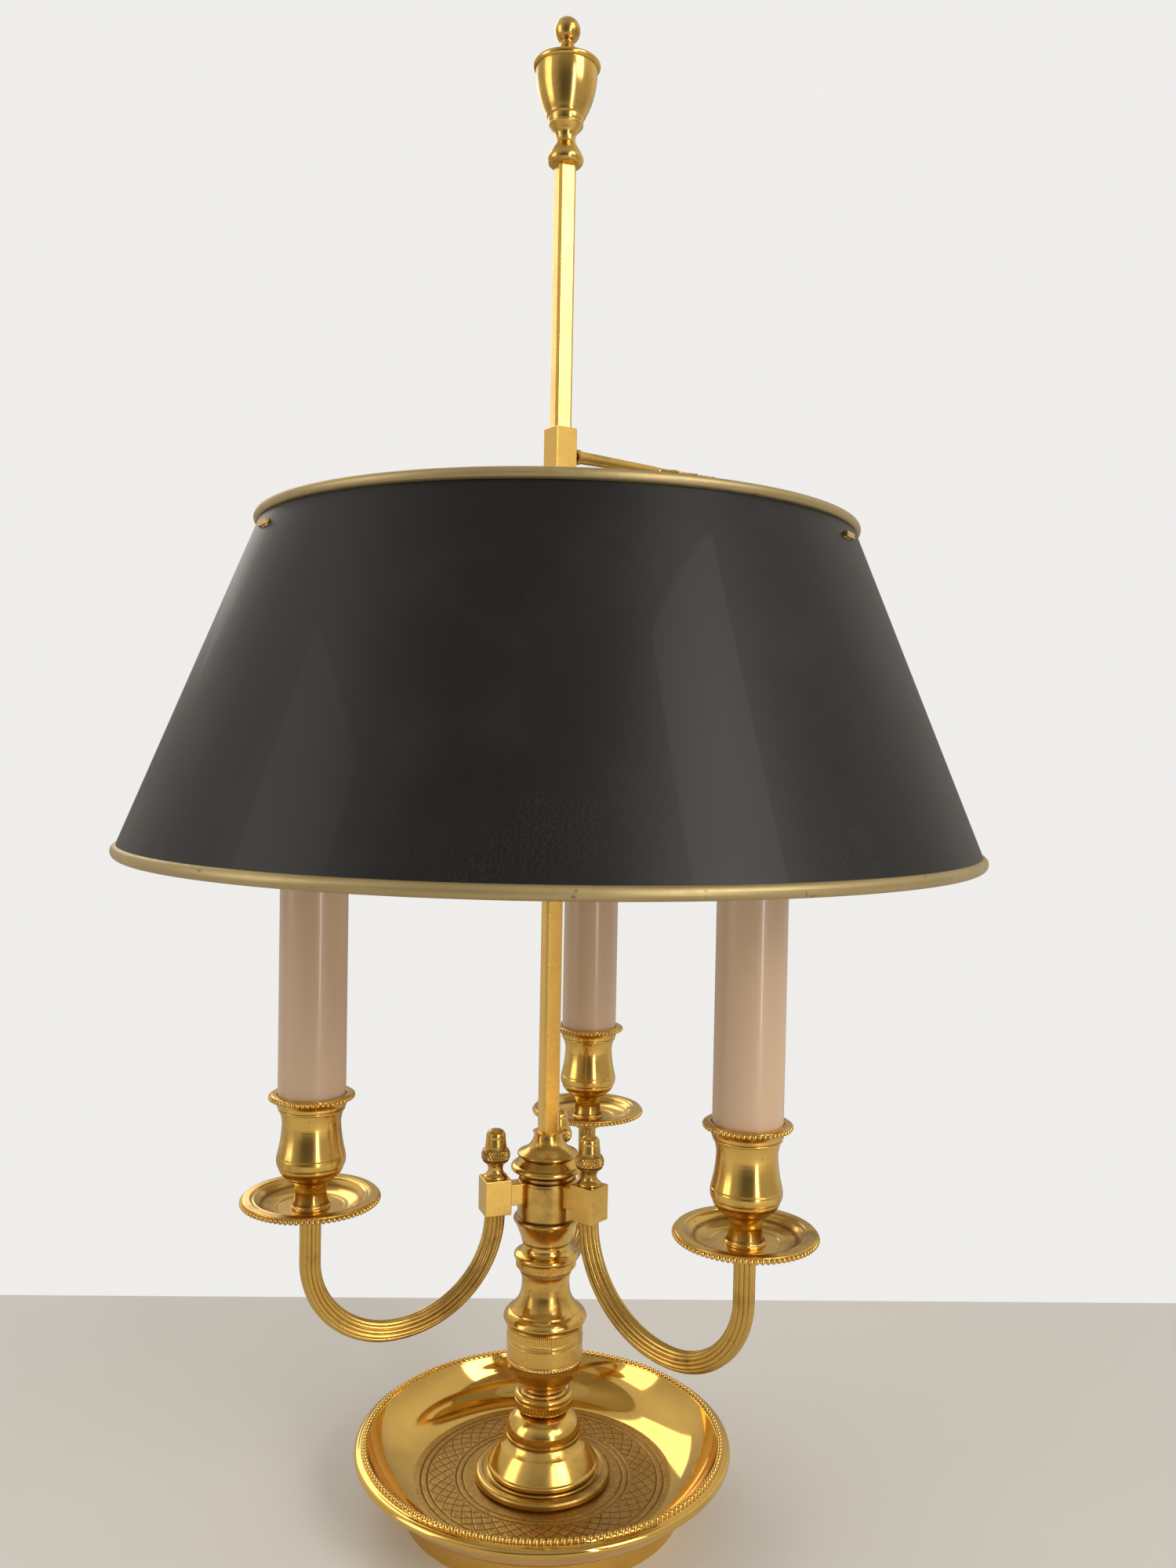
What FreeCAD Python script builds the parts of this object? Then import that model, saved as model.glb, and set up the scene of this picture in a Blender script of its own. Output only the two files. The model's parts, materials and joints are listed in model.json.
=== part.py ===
"""Three-light bouillotte lamp: dish base, turned column, three reeded arms with candle
cups, and a black metal shade that slides on a square shaft and is held by an arrow key.

Units are millimetres, +Z is up, and the origin is on the table under the column's centre.
"""
import FreeCAD
import Part
import math
import os

V = FreeCAD.Vector

# Clearances
seat_gap = 0.15          # radial gap of a piece that stands in its seat
running_gap = 0.06       # radial gap of a piece that turns or slides in its bore
side_gap = 0.3           # gap between curved faces of different bodies

# Dish base
dish_radius = 81.0
dish_rim_z = 25.5
bead_ring_radius = dish_radius - 4.4
bead_ring_z = 28.3
bead_radius = 1.25
floor_z = 10.5
floor_thickness = 2.5
floor_radius = dish_radius - 25.0
foot_radius = dish_radius - 20.5
foot_wall = 4.2
lip_depth = 4.6
wall_sag = 2.6
engraved_rings = (34.6, 37.2, 49.7, 52.5)
engraved_width = 0.9
engraved_depth = 0.45

# Cover, weight and cord inlet under the dish
cover_thickness = 2.0
weight_bore_radius = 15.0
inlet_azimuth = 90.0
inlet_z = 4.9
inlet_bore_radius = 2.6
inlet_wall = 0.8
inlet_flange_radius = 3.9
inlet_flange_thickness = 1.2

# Tube through the column, its nut and washer
tube_radius = 5.0
tube_bore_radius = 3.4
nut_across_flats = 17.0
nut_height = 4.0
washer_radius = 11.0
washer_thickness = 1.2

# Turned column, from the floor of the dish up: each piece has its height and its radii
foot_ring_height = 4.4
foot_ring_radius = 29.4
bell_height = 13.2
bell_radius = 23.9
bell_lip = 2.2
dome_band_height = 4.2
dome_height = 11.4
dome_radius = 15.9
knop_height = 9.2
knop_radius = 12.6
knop_neck_radius = 8.8
knop_knurl_count = 48
bowl_height = 12.6
bowl_radius = 15.9
band_height = 17.0
band_radius = 16.45
band_bead = 0.5
vase_height = 21.8
vase_lip_radius = 18.0
vase_neck_radius = 10.4
ring_height = 13.2
ring_radius = 13.65
ring_neck_radius = 10.6
hub_lip_height = 11.2
hub_lip_radius = 14.4
hub_height = 16.0
hub_radius = 12.8
collar_height = 10.0
collar_radius = 15.5
collar_neck_radius = 11.4
socket_height = 10.4
socket_radius = 13.1
socket_top_radius = 5.9

# Lugs of the hub, one for each arm
arm_count = 3
first_arm_azimuth = 78.7
lug_width = 11.6
lug_height = 15.0
lug_rise = 3.3
lug_neck_width = 7.0
lug_neck_height = 9.0
pivot_radius = 23.4

# Arms
arm_radius = 4.3
arm_bore_radius = 2.6
reed_count = 12
reed_depth = 0.55
stud_radius = 3.0
candle_radius = 101.0
arm_low_z = 83.0
outer_bend_radius = 33.0
pan_seat_z = 137.5
stud_above_lug = 8.0

# Knurled acorn nuts on the lugs
acorn_flange_radius = 5.0
acorn_neck_radius = 3.55
acorn_knurl_radius = 6.1
acorn_cap_radius = 4.5
acorn_height = 20.4
acorn_knurl_count = 20

# Drip pans, cups, sleeves, lampholders
pan_radius = 27.4
pan_depth = 6.0
pan_sheet = 1.4
pan_floor_radius = 13.5
pan_bead_radius = 0.85
pan_boss_radius = 6.4
pan_boss_height = 4.2
cup_foot_radius = 7.9
cup_stem_radius = 6.2
cup_bulge_radius = 13.75
cup_waist_radius = 11.8
cup_mouth_radius = 16.4
cup_height = 46.6
cup_bead_radius = 0.95
cup_bore_radius = 10.2
sleeve_radius = 13.55
sleeve_wall = 1.1
sleeve_height = 110.0
sleeve_seat_depth = 5.4
holder_radius = 11.6
holder_height = 54.0
holder_top_gap = 1.0
holder_tube_radius = 5.0
holder_tube_bore_radius = 3.4

# Candle bulbs with small screw caps
bulb_cap_radius = 6.9
bulb_cap_length = 22.0
bulb_radius = 17.5
bulb_height = 76.0
bulb_neck_radius = 9.0
bulb_wall = 0.9

# Square shaft and finial
shaft_side = 7.7
shaft_chamfer = 1.1
shaft_azimuth = 22.0
shaft_top_z = 571.5
shaft_tenon_radius = 3.0
shaft_tenon_length = 9.0
finial_height = 62.0
finial_rim_height = 41.6
finial_collar_radius = 7.7
finial_neck_radius = 4.1
finial_ring_radius = 7.4
finial_rim_radius = 14.3
finial_ball_radius = 5.55
finial_screw_radius = 2.0
finial_screw_length = 8.0

# Slider, key and the nut that holds the spider
slider_side = 10.3
slider_top_z = 461.5
slider_height = 40.0
slider_azimuth = 34.0
slider_tail_radius = 6.6
slider_tail_length = 24.0
slider_tail_step = 1.0
spider_nut_radius = 10.5
spider_nut_height = 6.0
key_z = 450.8
key_length = 107.0
key_screw_radius = 2.2
key_collar_offset = 2.6
key_root_radius = 2.6
key_shank_radius = 1.9
key_shank_length = 40.0
key_blade_width = 15.0
key_blade_thickness = 3.2
key_barb_count = 5
key_slot_length = 11.0
key_slot_width = 2.2

# Shade and spider
shade_top_radius = 123.9
shade_bottom_radius = 176.0
shade_top_z = 414.4
shade_bottom_z = 286.2
shade_sheet = 0.7
top_rim_radius = 2.1
bottom_rim_radius = 2.5
spider_arm_count = 3
spider_azimuth = 89.5
spider_drop = 7.0
spider_ring_radius = 11.0
spider_arm_width = 9.0
spider_thickness = 2.0
spider_tip_reach = 1.1
slot_width = 10.4
slot_height = 3.0


def polar(radius, azimuth, z=0.0):
    """Point at a radius and an azimuth in degrees about the lamp's axis."""
    turn = math.radians(azimuth)
    return V(radius * math.cos(turn), radius * math.sin(turn), z)


def outline(start, *steps):
    """Closed outline in the XZ plane: a pair is a line's end, four numbers an arc's
    middle and end."""
    edges = []
    here = V(start[0], 0, start[1])
    first = here
    for step in steps:
        end = V(step[-2], 0, step[-1])
        if len(step) == 4:
            edges.append(Part.Arc(here, V(step[0], 0, step[1]), end).toShape())
        else:
            edges.append(Part.makeLine(here, end))
        here = end
    if here.distanceToPoint(first) > 1e-6:
        edges.append(Part.makeLine(here, first))
    return Part.Face(Part.Wire(edges))


def turned(start, *steps):
    """Solid of revolution about the Z axis of an outline of radii and heights."""
    return outline(start, *steps).revolve(V(0, 0, 0), V(0, 0, 1), 360)


def cylinder(radius, bottom, top):
    return Part.makeCylinder(radius, top - bottom, V(0, 0, bottom))


def box_at(length, width, height, start_x, bottom):
    """Box that runs out along X from start_x, centred on the XZ plane."""
    return Part.makeBox(length, width, height, V(start_x, -width / 2, bottom))


def about_z(shape, azimuth):
    turned_shape = shape.copy()
    turned_shape.rotate(V(0, 0, 0), V(0, 0, 1), azimuth)
    return turned_shape


def moved(shape, x=0.0, y=0.0, z=0.0):
    moved_shape = shape.copy()
    moved_shape.translate(V(x, y, z))
    return moved_shape


def write(name, shape):
    if not shape.isValid():
        raise ValueError("not a valid solid: " + name)
    shape.exportStep("parts/" + name + ".step")
    lowest = shape.BoundBox.ZMin
    highest = shape.BoundBox.ZMax
    print(f"{name:22s} {len(shape.Solids)} solid  {shape.Volume:10.1f} mm3"
          f"  z {lowest:7.2f} to {highest:7.2f}")


def knurled(shape, radius, depth, count, bottom, top):
    """Cuts upright grooves round a turned piece, from bottom to top."""
    groove = Part.makeCylinder(depth, top - bottom, V(radius, 0, bottom))
    grooves = [about_z(groove, 360.0 * n / count) for n in range(count)]
    return shape.cut(Part.makeCompound(grooves))


# Heights of the column's joints, each piece standing on the one below
bell_z = floor_z + foot_ring_height
dome_z = bell_z + bell_height
knop_z = dome_z + dome_height
bowl_z = knop_z + knop_height
band_z = bowl_z + bowl_height
vase_z = band_z + band_height
ring_z = vase_z + vase_height
lip_z = ring_z + ring_height
hub_z = lip_z + hub_lip_height
collar_z = hub_z + hub_height
socket_z = collar_z + collar_height
shaft_z = socket_z + socket_height
lug_z = hub_z + lug_rise
bore_radius = tube_radius + seat_gap
floor_under_z = floor_z - floor_thickness
foot_top_z = floor_under_z + 1.2
foot_inner_radius = foot_radius - foot_wall

# Heights of what stands in a drip pan
cup_z = pan_seat_z + pan_sheet - 0.3
cup_top_z = cup_z + cup_height
sleeve_z = cup_top_z - sleeve_seat_depth
sleeve_top_z = sleeve_z + sleeve_height
holder_top_z = sleeve_top_z - holder_top_gap
holder_z = holder_top_z - holder_height
bulb_z = holder_top_z + 1.5

# Where slider, key and spider meet
shaft_corner_radius = math.hypot(shaft_side / 2, shaft_side / 2 - shaft_chamfer)
spider_z = shade_top_z - spider_drop
spider_top_z = spider_z + spider_thickness
key_start = slider_side / 2 + key_collar_offset


def base_dish():
    """Dish with a foot wall, a flat engraved floor, a curved wall and a turned-over lip."""
    wall_top = bead_ring_radius - bead_radius
    wall_top_z = bead_ring_z - bead_radius / 2
    middle_r = (floor_radius + wall_top) / 2 + wall_sag / 2
    middle_z = (floor_z + wall_top_z) / 2 - wall_sag
    lip_under_z = dish_rim_z - lip_depth / 2
    shape = turned(
        (bore_radius, floor_under_z), (foot_inner_radius, floor_under_z), (foot_inner_radius, 0),
        (foot_radius, 0), (foot_radius, foot_top_z),
        (middle_r + floor_thickness, middle_z - floor_thickness,
         wall_top + 2 * floor_thickness / 3, lip_under_z - 1),
        (dish_radius - 1.2, lip_under_z, dish_radius, dish_rim_z),
        (dish_radius - 0.9, dish_rim_z + 1.5, bead_ring_radius + bead_radius, wall_top_z),
        (wall_top, wall_top_z),
        (middle_r, middle_z, floor_radius, floor_z),
        (bore_radius, floor_z))
    for ring in engraved_rings:
        half = engraved_width / 2
        shape = shape.cut(turned((ring - half, floor_z + 0.01), (ring, floor_z - engraved_depth),
                                 (ring + half, floor_z + 0.01)))
    inlet = Part.makeCylinder(inlet_bore_radius + inlet_wall + seat_gap, foot_wall + 2,
                              V(foot_inner_radius - 1, 0, inlet_z), V(1, 0, 0))
    return shape.cut(about_z(inlet, inlet_azimuth))


def base_bead_ring():
    """Ring that carries the beads round the top of the dish."""
    seat = bead_ring_z - bead_radius / 2
    return turned((bead_ring_radius - bead_radius, seat), (bead_ring_radius + bead_radius, seat),
                  (bead_ring_radius, bead_ring_z + bead_radius, bead_ring_radius - bead_radius, seat))


def base_weight():
    """Cast disc under the floor, with a channel for the wires."""
    outer = foot_inner_radius - 2 * side_gap
    disc = turned((weight_bore_radius, cover_thickness), (outer, cover_thickness),
                  (outer, floor_under_z), (weight_bore_radius, floor_under_z))
    channel = box_at(outer, 2 * inlet_bore_radius + 1.5, floor_under_z,
                     weight_bore_radius - 2, cover_thickness - 1)
    return disc.cut(about_z(channel, inlet_azimuth))


def cord_bushing():
    """Flanged bush in the foot wall, where the cord goes in."""
    out = V(1, 0, 0)
    inner_end = V(foot_inner_radius, 0, inlet_z)
    barrel = Part.makeCylinder(inlet_bore_radius + inlet_wall, foot_wall, inner_end, out)
    flange = Part.makeCylinder(inlet_flange_radius, inlet_flange_thickness,
                               V(foot_radius, 0, inlet_z), out)
    bore = Part.makeCylinder(inlet_bore_radius, foot_wall + 4, inner_end - 2 * out, out)
    return about_z(barrel.fuse(flange).cut(bore), inlet_azimuth)


def tie_nut():
    """Hexagon nut on its washer, under the floor of the dish."""
    corner = nut_across_flats / math.sqrt(3)
    points = [polar(corner, 60.0 * n, floor_under_z - washer_thickness - nut_height) for n in range(6)]
    hexagon = Part.Face(Part.makePolygon(points + points[:1])).extrude(V(0, 0, nut_height))
    return hexagon.cut(cylinder(bore_radius, 0, floor_under_z))


def tie_washer():
    return cylinder(washer_radius, floor_under_z - washer_thickness, floor_under_z).cut(
        cylinder(bore_radius, 0, floor_z))


def tie_tube():
    """Threaded tube that pulls the column together and leads the wires up."""
    bottom = floor_under_z - washer_thickness - nut_height
    return cylinder(tube_radius, bottom, collar_z + collar_height / 2).cut(
        cylinder(tube_bore_radius, bottom - 1, collar_z + collar_height))


def foot_ring():
    crest = foot_ring_radius - 2.2
    return turned((bore_radius, floor_z), (foot_ring_radius - 0.6, floor_z),
                  (foot_ring_radius, floor_z + 1.7, crest, floor_z + foot_ring_height - 0.7),
                  (bell_radius - 0.6, bell_z - 0.5), (bell_radius - 1.2, bell_z), (bore_radius, bell_z))


def bell_foot():
    """Flared bell that ends in a rounded lip."""
    top = dome_z
    return turned((bore_radius, bell_z), (bell_radius - 1.2, bell_z),
                  (bell_radius, bell_z + 0.6, bell_radius - 0.4, bell_z + bell_lip),
                  (bell_radius - 2.2, bell_z + bell_lip + 3.2, dome_radius + 2.4, top - 3.4),
                  (dome_radius + 0.6, top - 1.6, dome_radius - 0.5, top), (bore_radius, top))


def foot_dome():
    """Plain band and the dome above it."""
    band_top = dome_z + dome_band_height
    return turned((bore_radius, dome_z), (dome_radius, dome_z), (dome_radius, band_top),
                  (dome_radius - 2.0, band_top + 4.4, knop_neck_radius, knop_z), (bore_radius, knop_z))


def knurled_knop():
    """Knop with fine upright flutes on its lower half."""
    middle = knop_z + 0.42 * knop_height
    shape = turned((bore_radius, knop_z), (knop_neck_radius + 0.6, knop_z),
                   (knop_radius - 0.6, middle - 2.6, knop_radius, middle),
                   (knop_radius - 0.7, middle + 2.6, knop_neck_radius + 0.5, bowl_z - 1.0),
                   (knop_neck_radius, bowl_z), (bore_radius, bowl_z))
    return knurled(shape, knop_radius + 0.1, 0.38, knop_knurl_count, middle - 2.4, middle + 0.6)


def vase_bowl():
    return turned((bore_radius, bowl_z), (knop_neck_radius, bowl_z),
                  (knop_neck_radius + 5.2, bowl_z + 0.52 * bowl_height, bowl_radius, band_z),
                  (bore_radius, band_z))


def knurled_band():
    """Drum of the vase, with a fine bead at its foot and a groove under its top."""
    top = vase_z
    return turned((bore_radius, band_z), (bowl_radius + 0.2, band_z),
                  (bowl_radius + 0.2 + band_bead, band_z + band_bead,
                   bowl_radius + 0.2, band_z + 2 * band_bead),
                  (band_radius - 0.3, band_z + 1.6), (band_radius, band_z + 2.0),
                  (band_radius, band_z + 9.6), (band_radius - 0.3, band_z + 9.9),
                  (band_radius - 0.3, top - 2.2), (band_radius + 0.1, top - 1.8),
                  (band_radius + 0.1, top - 0.8), (band_radius - 0.5, top), (bore_radius, top))


def vase_neck():
    """Bell-shaped shoulder of the vase that draws in to a neck."""
    lip_z_centre = vase_z + 2.2
    waist = vase_z + 15.0
    return turned((bore_radius, vase_z), (band_radius - 0.5, vase_z),
                  (vase_lip_radius - 0.5, vase_z + 0.7, vase_lip_radius, lip_z_centre),
                  (vase_lip_radius - 0.9, vase_z + 3.9, vase_lip_radius - 2.9, vase_z + 5.4),
                  (vase_neck_radius + 1.6, vase_z + 9.4, vase_neck_radius, waist),
                  (vase_neck_radius + 0.2, vase_z + 19.0, vase_neck_radius + 0.7, ring_z),
                  (bore_radius, ring_z))


def neck_ring():
    """Ring moulding with a fillet and a knurled edge below, and a cove above."""
    return turned((bore_radius, ring_z), (vase_neck_radius + 0.9, ring_z),
                   (vase_neck_radius + 0.9, ring_z + 1.2), (ring_radius - 1.2, ring_z + 1.8),
                   (ring_radius - 0.8, ring_z + 3.4),
                   (ring_radius, ring_z + 5.4, ring_radius - 1.2, ring_z + 7.6),
                   (ring_neck_radius + 0.5, ring_z + 9.0, ring_neck_radius, lip_z),
                   (bore_radius, lip_z))


def lug_body():
    """Square lug on a neck, along X."""
    block = box_at(lug_width, lug_width, lug_height, pivot_radius - lug_width / 2, lug_z)
    block = block.makeChamfer(0.35, block.Edges)
    neck_z = lug_z + (lug_height - lug_neck_height) / 2
    neck = box_at(pivot_radius - tube_radius - 2, lug_neck_width, lug_neck_height, tube_radius + 2, neck_z)
    return block.fuse(neck)


def arm_hub():
    """Lip, drum and three bored lugs that carry the arms, with wire ways to the tube."""
    body = turned((bore_radius, lip_z), (ring_neck_radius, lip_z),
                  (ring_neck_radius + 1.0, lip_z + 3.6, hub_lip_radius - 0.5, hub_z - 2.6),
                  (hub_lip_radius, hub_z - 1.5, hub_radius + 0.6, hub_z - 0.2), (hub_radius, hub_z),
                  (hub_radius, collar_z), (bore_radius, collar_z))
    for n in range(arm_count):
        body = body.fuse(about_z(lug_body(), arm_azimuth(n)))
    wire_z = lug_z + lug_height / 2
    for n in range(arm_count):
        stud_hole = Part.makeCylinder(stud_radius + running_gap, lug_height + 2,
                                      V(pivot_radius, 0, lug_z - 1))
        wire_way = Part.makeCylinder(1.6, pivot_radius, V(0, 0, wire_z), V(1, 0, 0))
        body = body.cut(about_z(stud_hole.fuse(wire_way), arm_azimuth(n)))
    return body.cut(cylinder(bore_radius, lip_z - 1, collar_z + 1))


def hub_collar():
    """Collar with a flared edge between hub and socket."""
    return turned((bore_radius, collar_z), (collar_neck_radius, collar_z),
                  (collar_neck_radius, collar_z + 1.6),
                  (collar_neck_radius + 1.2, collar_z + 3.0, collar_radius, collar_z + 4.0),
                  (collar_radius + 0.3, collar_z + 5.0, collar_radius - 0.3, collar_z + 6.0),
                  (collar_neck_radius + 1.6, collar_z + 8.0, collar_neck_radius, socket_z),
                  (bore_radius, socket_z))


def shaft_socket():
    """Trumpet-shaped socket that the shaft screws into."""
    tenon_top = shaft_z
    return turned((shaft_tenon_radius + seat_gap, socket_z), (socket_radius - 0.9, socket_z),
                  (socket_radius, socket_z + 0.5, socket_radius - 0.5, socket_z + 1.3),
                  (socket_top_radius + 1.6, socket_z + 5.0, socket_top_radius, tenon_top - 1.0),
                  (socket_top_radius - 0.4, tenon_top), (shaft_tenon_radius + seat_gap, tenon_top))


def shaft_section(side, z):
    """Square with chamfered corners."""
    half = side / 2
    cut = half - shaft_chamfer
    corners = [(half, -cut), (half, cut), (cut, half), (-cut, half),
               (-half, cut), (-half, -cut), (-cut, -half), (cut, -half)]
    points = [V(x, y, z) for x, y in corners]
    return Part.Face(Part.makePolygon(points + points[:1]))


def shaft():
    bar = shaft_section(shaft_side, shaft_z).extrude(V(0, 0, shaft_top_z - shaft_z))
    bar = bar.fuse(cylinder(shaft_tenon_radius, shaft_z - shaft_tenon_length, shaft_z))
    hole = cylinder(finial_screw_radius + running_gap, shaft_top_z - finial_screw_length - 1, shaft_top_z + 1)
    return about_z(bar.cut(hole), shaft_azimuth)


def finial():
    """Urn with a ball on its lid, a collar below and a screw into the shaft."""
    z = shaft_top_z
    top = z + finial_height
    rim_z = z + finial_rim_height
    ball_z = top - finial_ball_radius
    lid_z = rim_z + 2.6
    neck_meet = 2.6
    ball_foot_z = ball_z - math.sqrt(finial_ball_radius ** 2 - neck_meet ** 2)
    collar_mid = z + 3.8
    return turned(
        (0, z), (finial_collar_radius - 1.8, z),
        (finial_collar_radius, z + 2.4, finial_collar_radius - 0.2, collar_mid),
        (finial_collar_radius - 1.6, z + 6.6, finial_neck_radius + 0.6, z + 8.8),
        (finial_neck_radius, z + 11.6, finial_neck_radius + 1.2, z + 14.4),
        (finial_ring_radius - 0.4, z + 16.2),
        (finial_ring_radius, z + 18.2, finial_ring_radius + 0.2, z + 20.0),
        (finial_ring_radius + 1.6, z + 22.0),
        (finial_rim_radius - 2.7, z + 30.0, finial_rim_radius - 1.3, rim_z - 1.4),
        (finial_rim_radius, rim_z, finial_rim_radius - 1.3, rim_z + 1.5),
        (finial_rim_radius / 2, lid_z + 1.0, neck_meet, ball_foot_z),
        (finial_ball_radius, ball_z, 0, top)).fuse(
        cylinder(finial_screw_radius, z - finial_screw_length, z))


def arm_azimuth(n):
    return first_arm_azimuth + 360.0 * n / arm_count


def arm_path():
    """Centre line of an arm in the XZ plane, from the lug down, round and up to the pan."""
    low = arm_low_z
    outer_centre = V(candle_radius - outer_bend_radius, 0, low + outer_bend_radius)
    inner_radius = min(outer_centre.x - pivot_radius, lug_z - low)
    inner_centre = V(pivot_radius + inner_radius, 0, low + inner_radius)
    diagonal = math.sqrt(0.5)
    start = V(pivot_radius, 0, lug_z)
    inner_start = V(pivot_radius, 0, inner_centre.z)
    inner_lowest = V(inner_centre.x, 0, low)
    lowest = V(outer_centre.x, 0, low)
    inner_middle = inner_centre + V(-inner_radius * diagonal, 0, -inner_radius * diagonal)
    outer_middle = outer_centre + V(outer_bend_radius * diagonal, 0, -outer_bend_radius * diagonal)
    outer_end = V(candle_radius, 0, outer_centre.z)
    end = V(candle_radius, 0, pan_seat_z)
    edges = [Part.Arc(inner_start, inner_middle, inner_lowest).toShape()]
    if start.z - inner_start.z > 0.01:
        edges.insert(0, Part.makeLine(start, inner_start))
    if lowest.x - inner_lowest.x > 0.01:
        edges.append(Part.makeLine(inner_lowest, lowest))
    edges += [Part.Arc(lowest, outer_middle, outer_end).toShape(), Part.makeLine(outer_end, end)]
    return Part.Wire(edges)


def reeded_section(x, z):
    """Ring of convex reeds round the arm's centre line, in a level plane."""
    edges = []
    for n in range(reed_count):
        turns = [360.0 * (n + share) / reed_count for share in (0, 0.5, 1)]
        radii = (arm_radius - reed_depth, arm_radius, arm_radius - reed_depth)
        points = [polar(r, t) + V(x, 0, z) for r, t in zip(radii, turns)]
        edges.append(Part.Arc(*points).toShape())
    return Part.Wire(edges)


def arm_tube():
    """Reeded arm, bored for its wires, with the stud that goes up through the lug."""
    path = arm_path()
    start_z = path.Edges[0].firstVertex().Point.z
    body = path.makePipeShell([reeded_section(pivot_radius, start_z)], True, False)
    hole_wire = Part.Wire(Part.makeCircle(arm_bore_radius, V(pivot_radius, 0, start_z)))
    bore = path.makePipeShell([hole_wire], True, False)
    body = body.cut(bore)
    stud = Part.makeCylinder(stud_radius, lug_height + stud_above_lug, V(pivot_radius, 0, lug_z))
    return body.fuse(stud).removeSplitter()


def acorn_nut():
    """Knurled acorn nut with a bullet cap, on a lug's stud, at the pivot."""
    z = lug_z + lug_height
    top = z + acorn_height
    hole = stud_radius + running_gap
    shape = turned(
        (hole, z), (acorn_flange_radius, z), (acorn_flange_radius, z + 0.9),
        (acorn_neck_radius + 0.4, z + 1.8, acorn_neck_radius, z + 3.2),
        (acorn_neck_radius + 0.3, z + 4.8, acorn_knurl_radius - 1.2, z + 6.8),
        (acorn_knurl_radius, z + 8.6), (acorn_knurl_radius, z + 11.0), (acorn_cap_radius + 0.2, z + 12.4),
        (acorn_cap_radius, z + 13.2), (acorn_cap_radius - 0.6, top - 3.4),
        (acorn_cap_radius - 1.2, top - 1.0, acorn_cap_radius - 2.6, top), (0, top),
        (0, z + stud_above_lug + 0.6), (hole, z + stud_above_lug + 0.6))
    shape = knurled(shape, acorn_knurl_radius + 0.25, 0.6, acorn_knurl_count, z + 6.8, z + 12.4)
    return moved(shape, x=pivot_radius)


def drip_pan():
    """Pan with a stepped floor, a flat rim and a boss below."""
    floor = pan_seat_z
    rim_z = floor + pan_depth
    sheet = pan_sheet
    hole = holder_tube_radius + seat_gap
    shape = turned(
        (hole, floor), (pan_floor_radius, floor),
        (pan_floor_radius + 5.0, floor + 0.9, pan_radius - 6.0, rim_z - sheet - 0.9),
        (pan_radius - 3.2, rim_z - sheet), (pan_radius - 0.4, rim_z - sheet), (pan_radius, rim_z - sheet / 2),
        (pan_radius - 0.4, rim_z), (pan_radius - 3.6, rim_z), (pan_radius - 4.2, rim_z - 0.7),
        (pan_radius - 6.6, rim_z - 1.2),
        (pan_floor_radius + 4.6, floor + sheet + 1.1, pan_floor_radius, floor + sheet),
        (pan_floor_radius - 0.5, floor + sheet - 0.3), (hole, floor + sheet - 0.3))
    boss = turned((arm_radius + 0.01, floor - pan_boss_height),
                  (pan_boss_radius - 0.6, floor - pan_boss_height),
                  (pan_boss_radius, floor - pan_boss_height + 0.7), (pan_boss_radius, floor),
                  (arm_radius + 0.01, floor))
    bead = turned((pan_radius - 0.2, rim_z - sheet), (pan_radius + pan_bead_radius, rim_z - sheet / 2,
                                                       pan_radius - 0.2, rim_z))
    return moved(shape.fuse(boss).fuse(bead), x=candle_radius)


def candle_cup():
    """Vase-shaped cup on a stem, with a beaded mouth that takes the sleeve."""
    z = cup_z
    top = cup_top_z
    seat_radius = sleeve_radius + seat_gap
    hole = holder_tube_radius + seat_gap
    return moved(turned(
        (hole, z), (cup_foot_radius, z), (cup_foot_radius, z + 0.8),
        (cup_stem_radius + 0.5, z + 3.4, cup_stem_radius, z + 6.6),
        (cup_stem_radius + 0.9, z + 9.8, 10.0, z + 12.4),
        (cup_bulge_radius - 1.2, z + 15.0, cup_bulge_radius - 0.6, z + 17.0),
        (cup_bulge_radius - 0.2, z + 17.4),
        (cup_bulge_radius + 0.1, z + 19.6, cup_bulge_radius - 0.1, z + 21.4),
        (cup_bulge_radius - 0.5, z + 21.7), (cup_bulge_radius - 0.2, z + 22.0),
        (cup_waist_radius + 0.6, z + 27.6, cup_waist_radius, z + 33.0),
        (cup_waist_radius + 0.2, z + 37.0, cup_waist_radius + 1.2, z + 40.0),
        (cup_waist_radius + 1.6, z + 40.3),
        (cup_waist_radius + 2.0, z + 42.8, cup_mouth_radius - 0.6, top - 1.3),
        (cup_mouth_radius + cup_bead_radius, top - cup_bead_radius, cup_mouth_radius - 0.2, top - 0.1),
        (seat_radius, top - 0.6), (seat_radius, sleeve_z), (cup_bore_radius, sleeve_z),
        (cup_bore_radius, z + 19.0), (hole, z + 15.0)), x=candle_radius)


def candle_sleeve():
    inner = sleeve_radius - sleeve_wall
    return moved(turned((inner, sleeve_z), (sleeve_radius, sleeve_z), (sleeve_radius, sleeve_top_z - 0.4),
                        (sleeve_radius - 0.4, sleeve_top_z), (inner + 0.3, sleeve_top_z),
                        (inner, sleeve_top_z - 0.3)), x=candle_radius)


def holder_tube():
    """Threaded tube from the end of the arm up to the lampholder."""
    return moved(cylinder(holder_tube_radius, pan_seat_z, holder_z).cut(
        cylinder(holder_tube_bore_radius, pan_seat_z - 1, holder_z + 1)), x=candle_radius)


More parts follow.
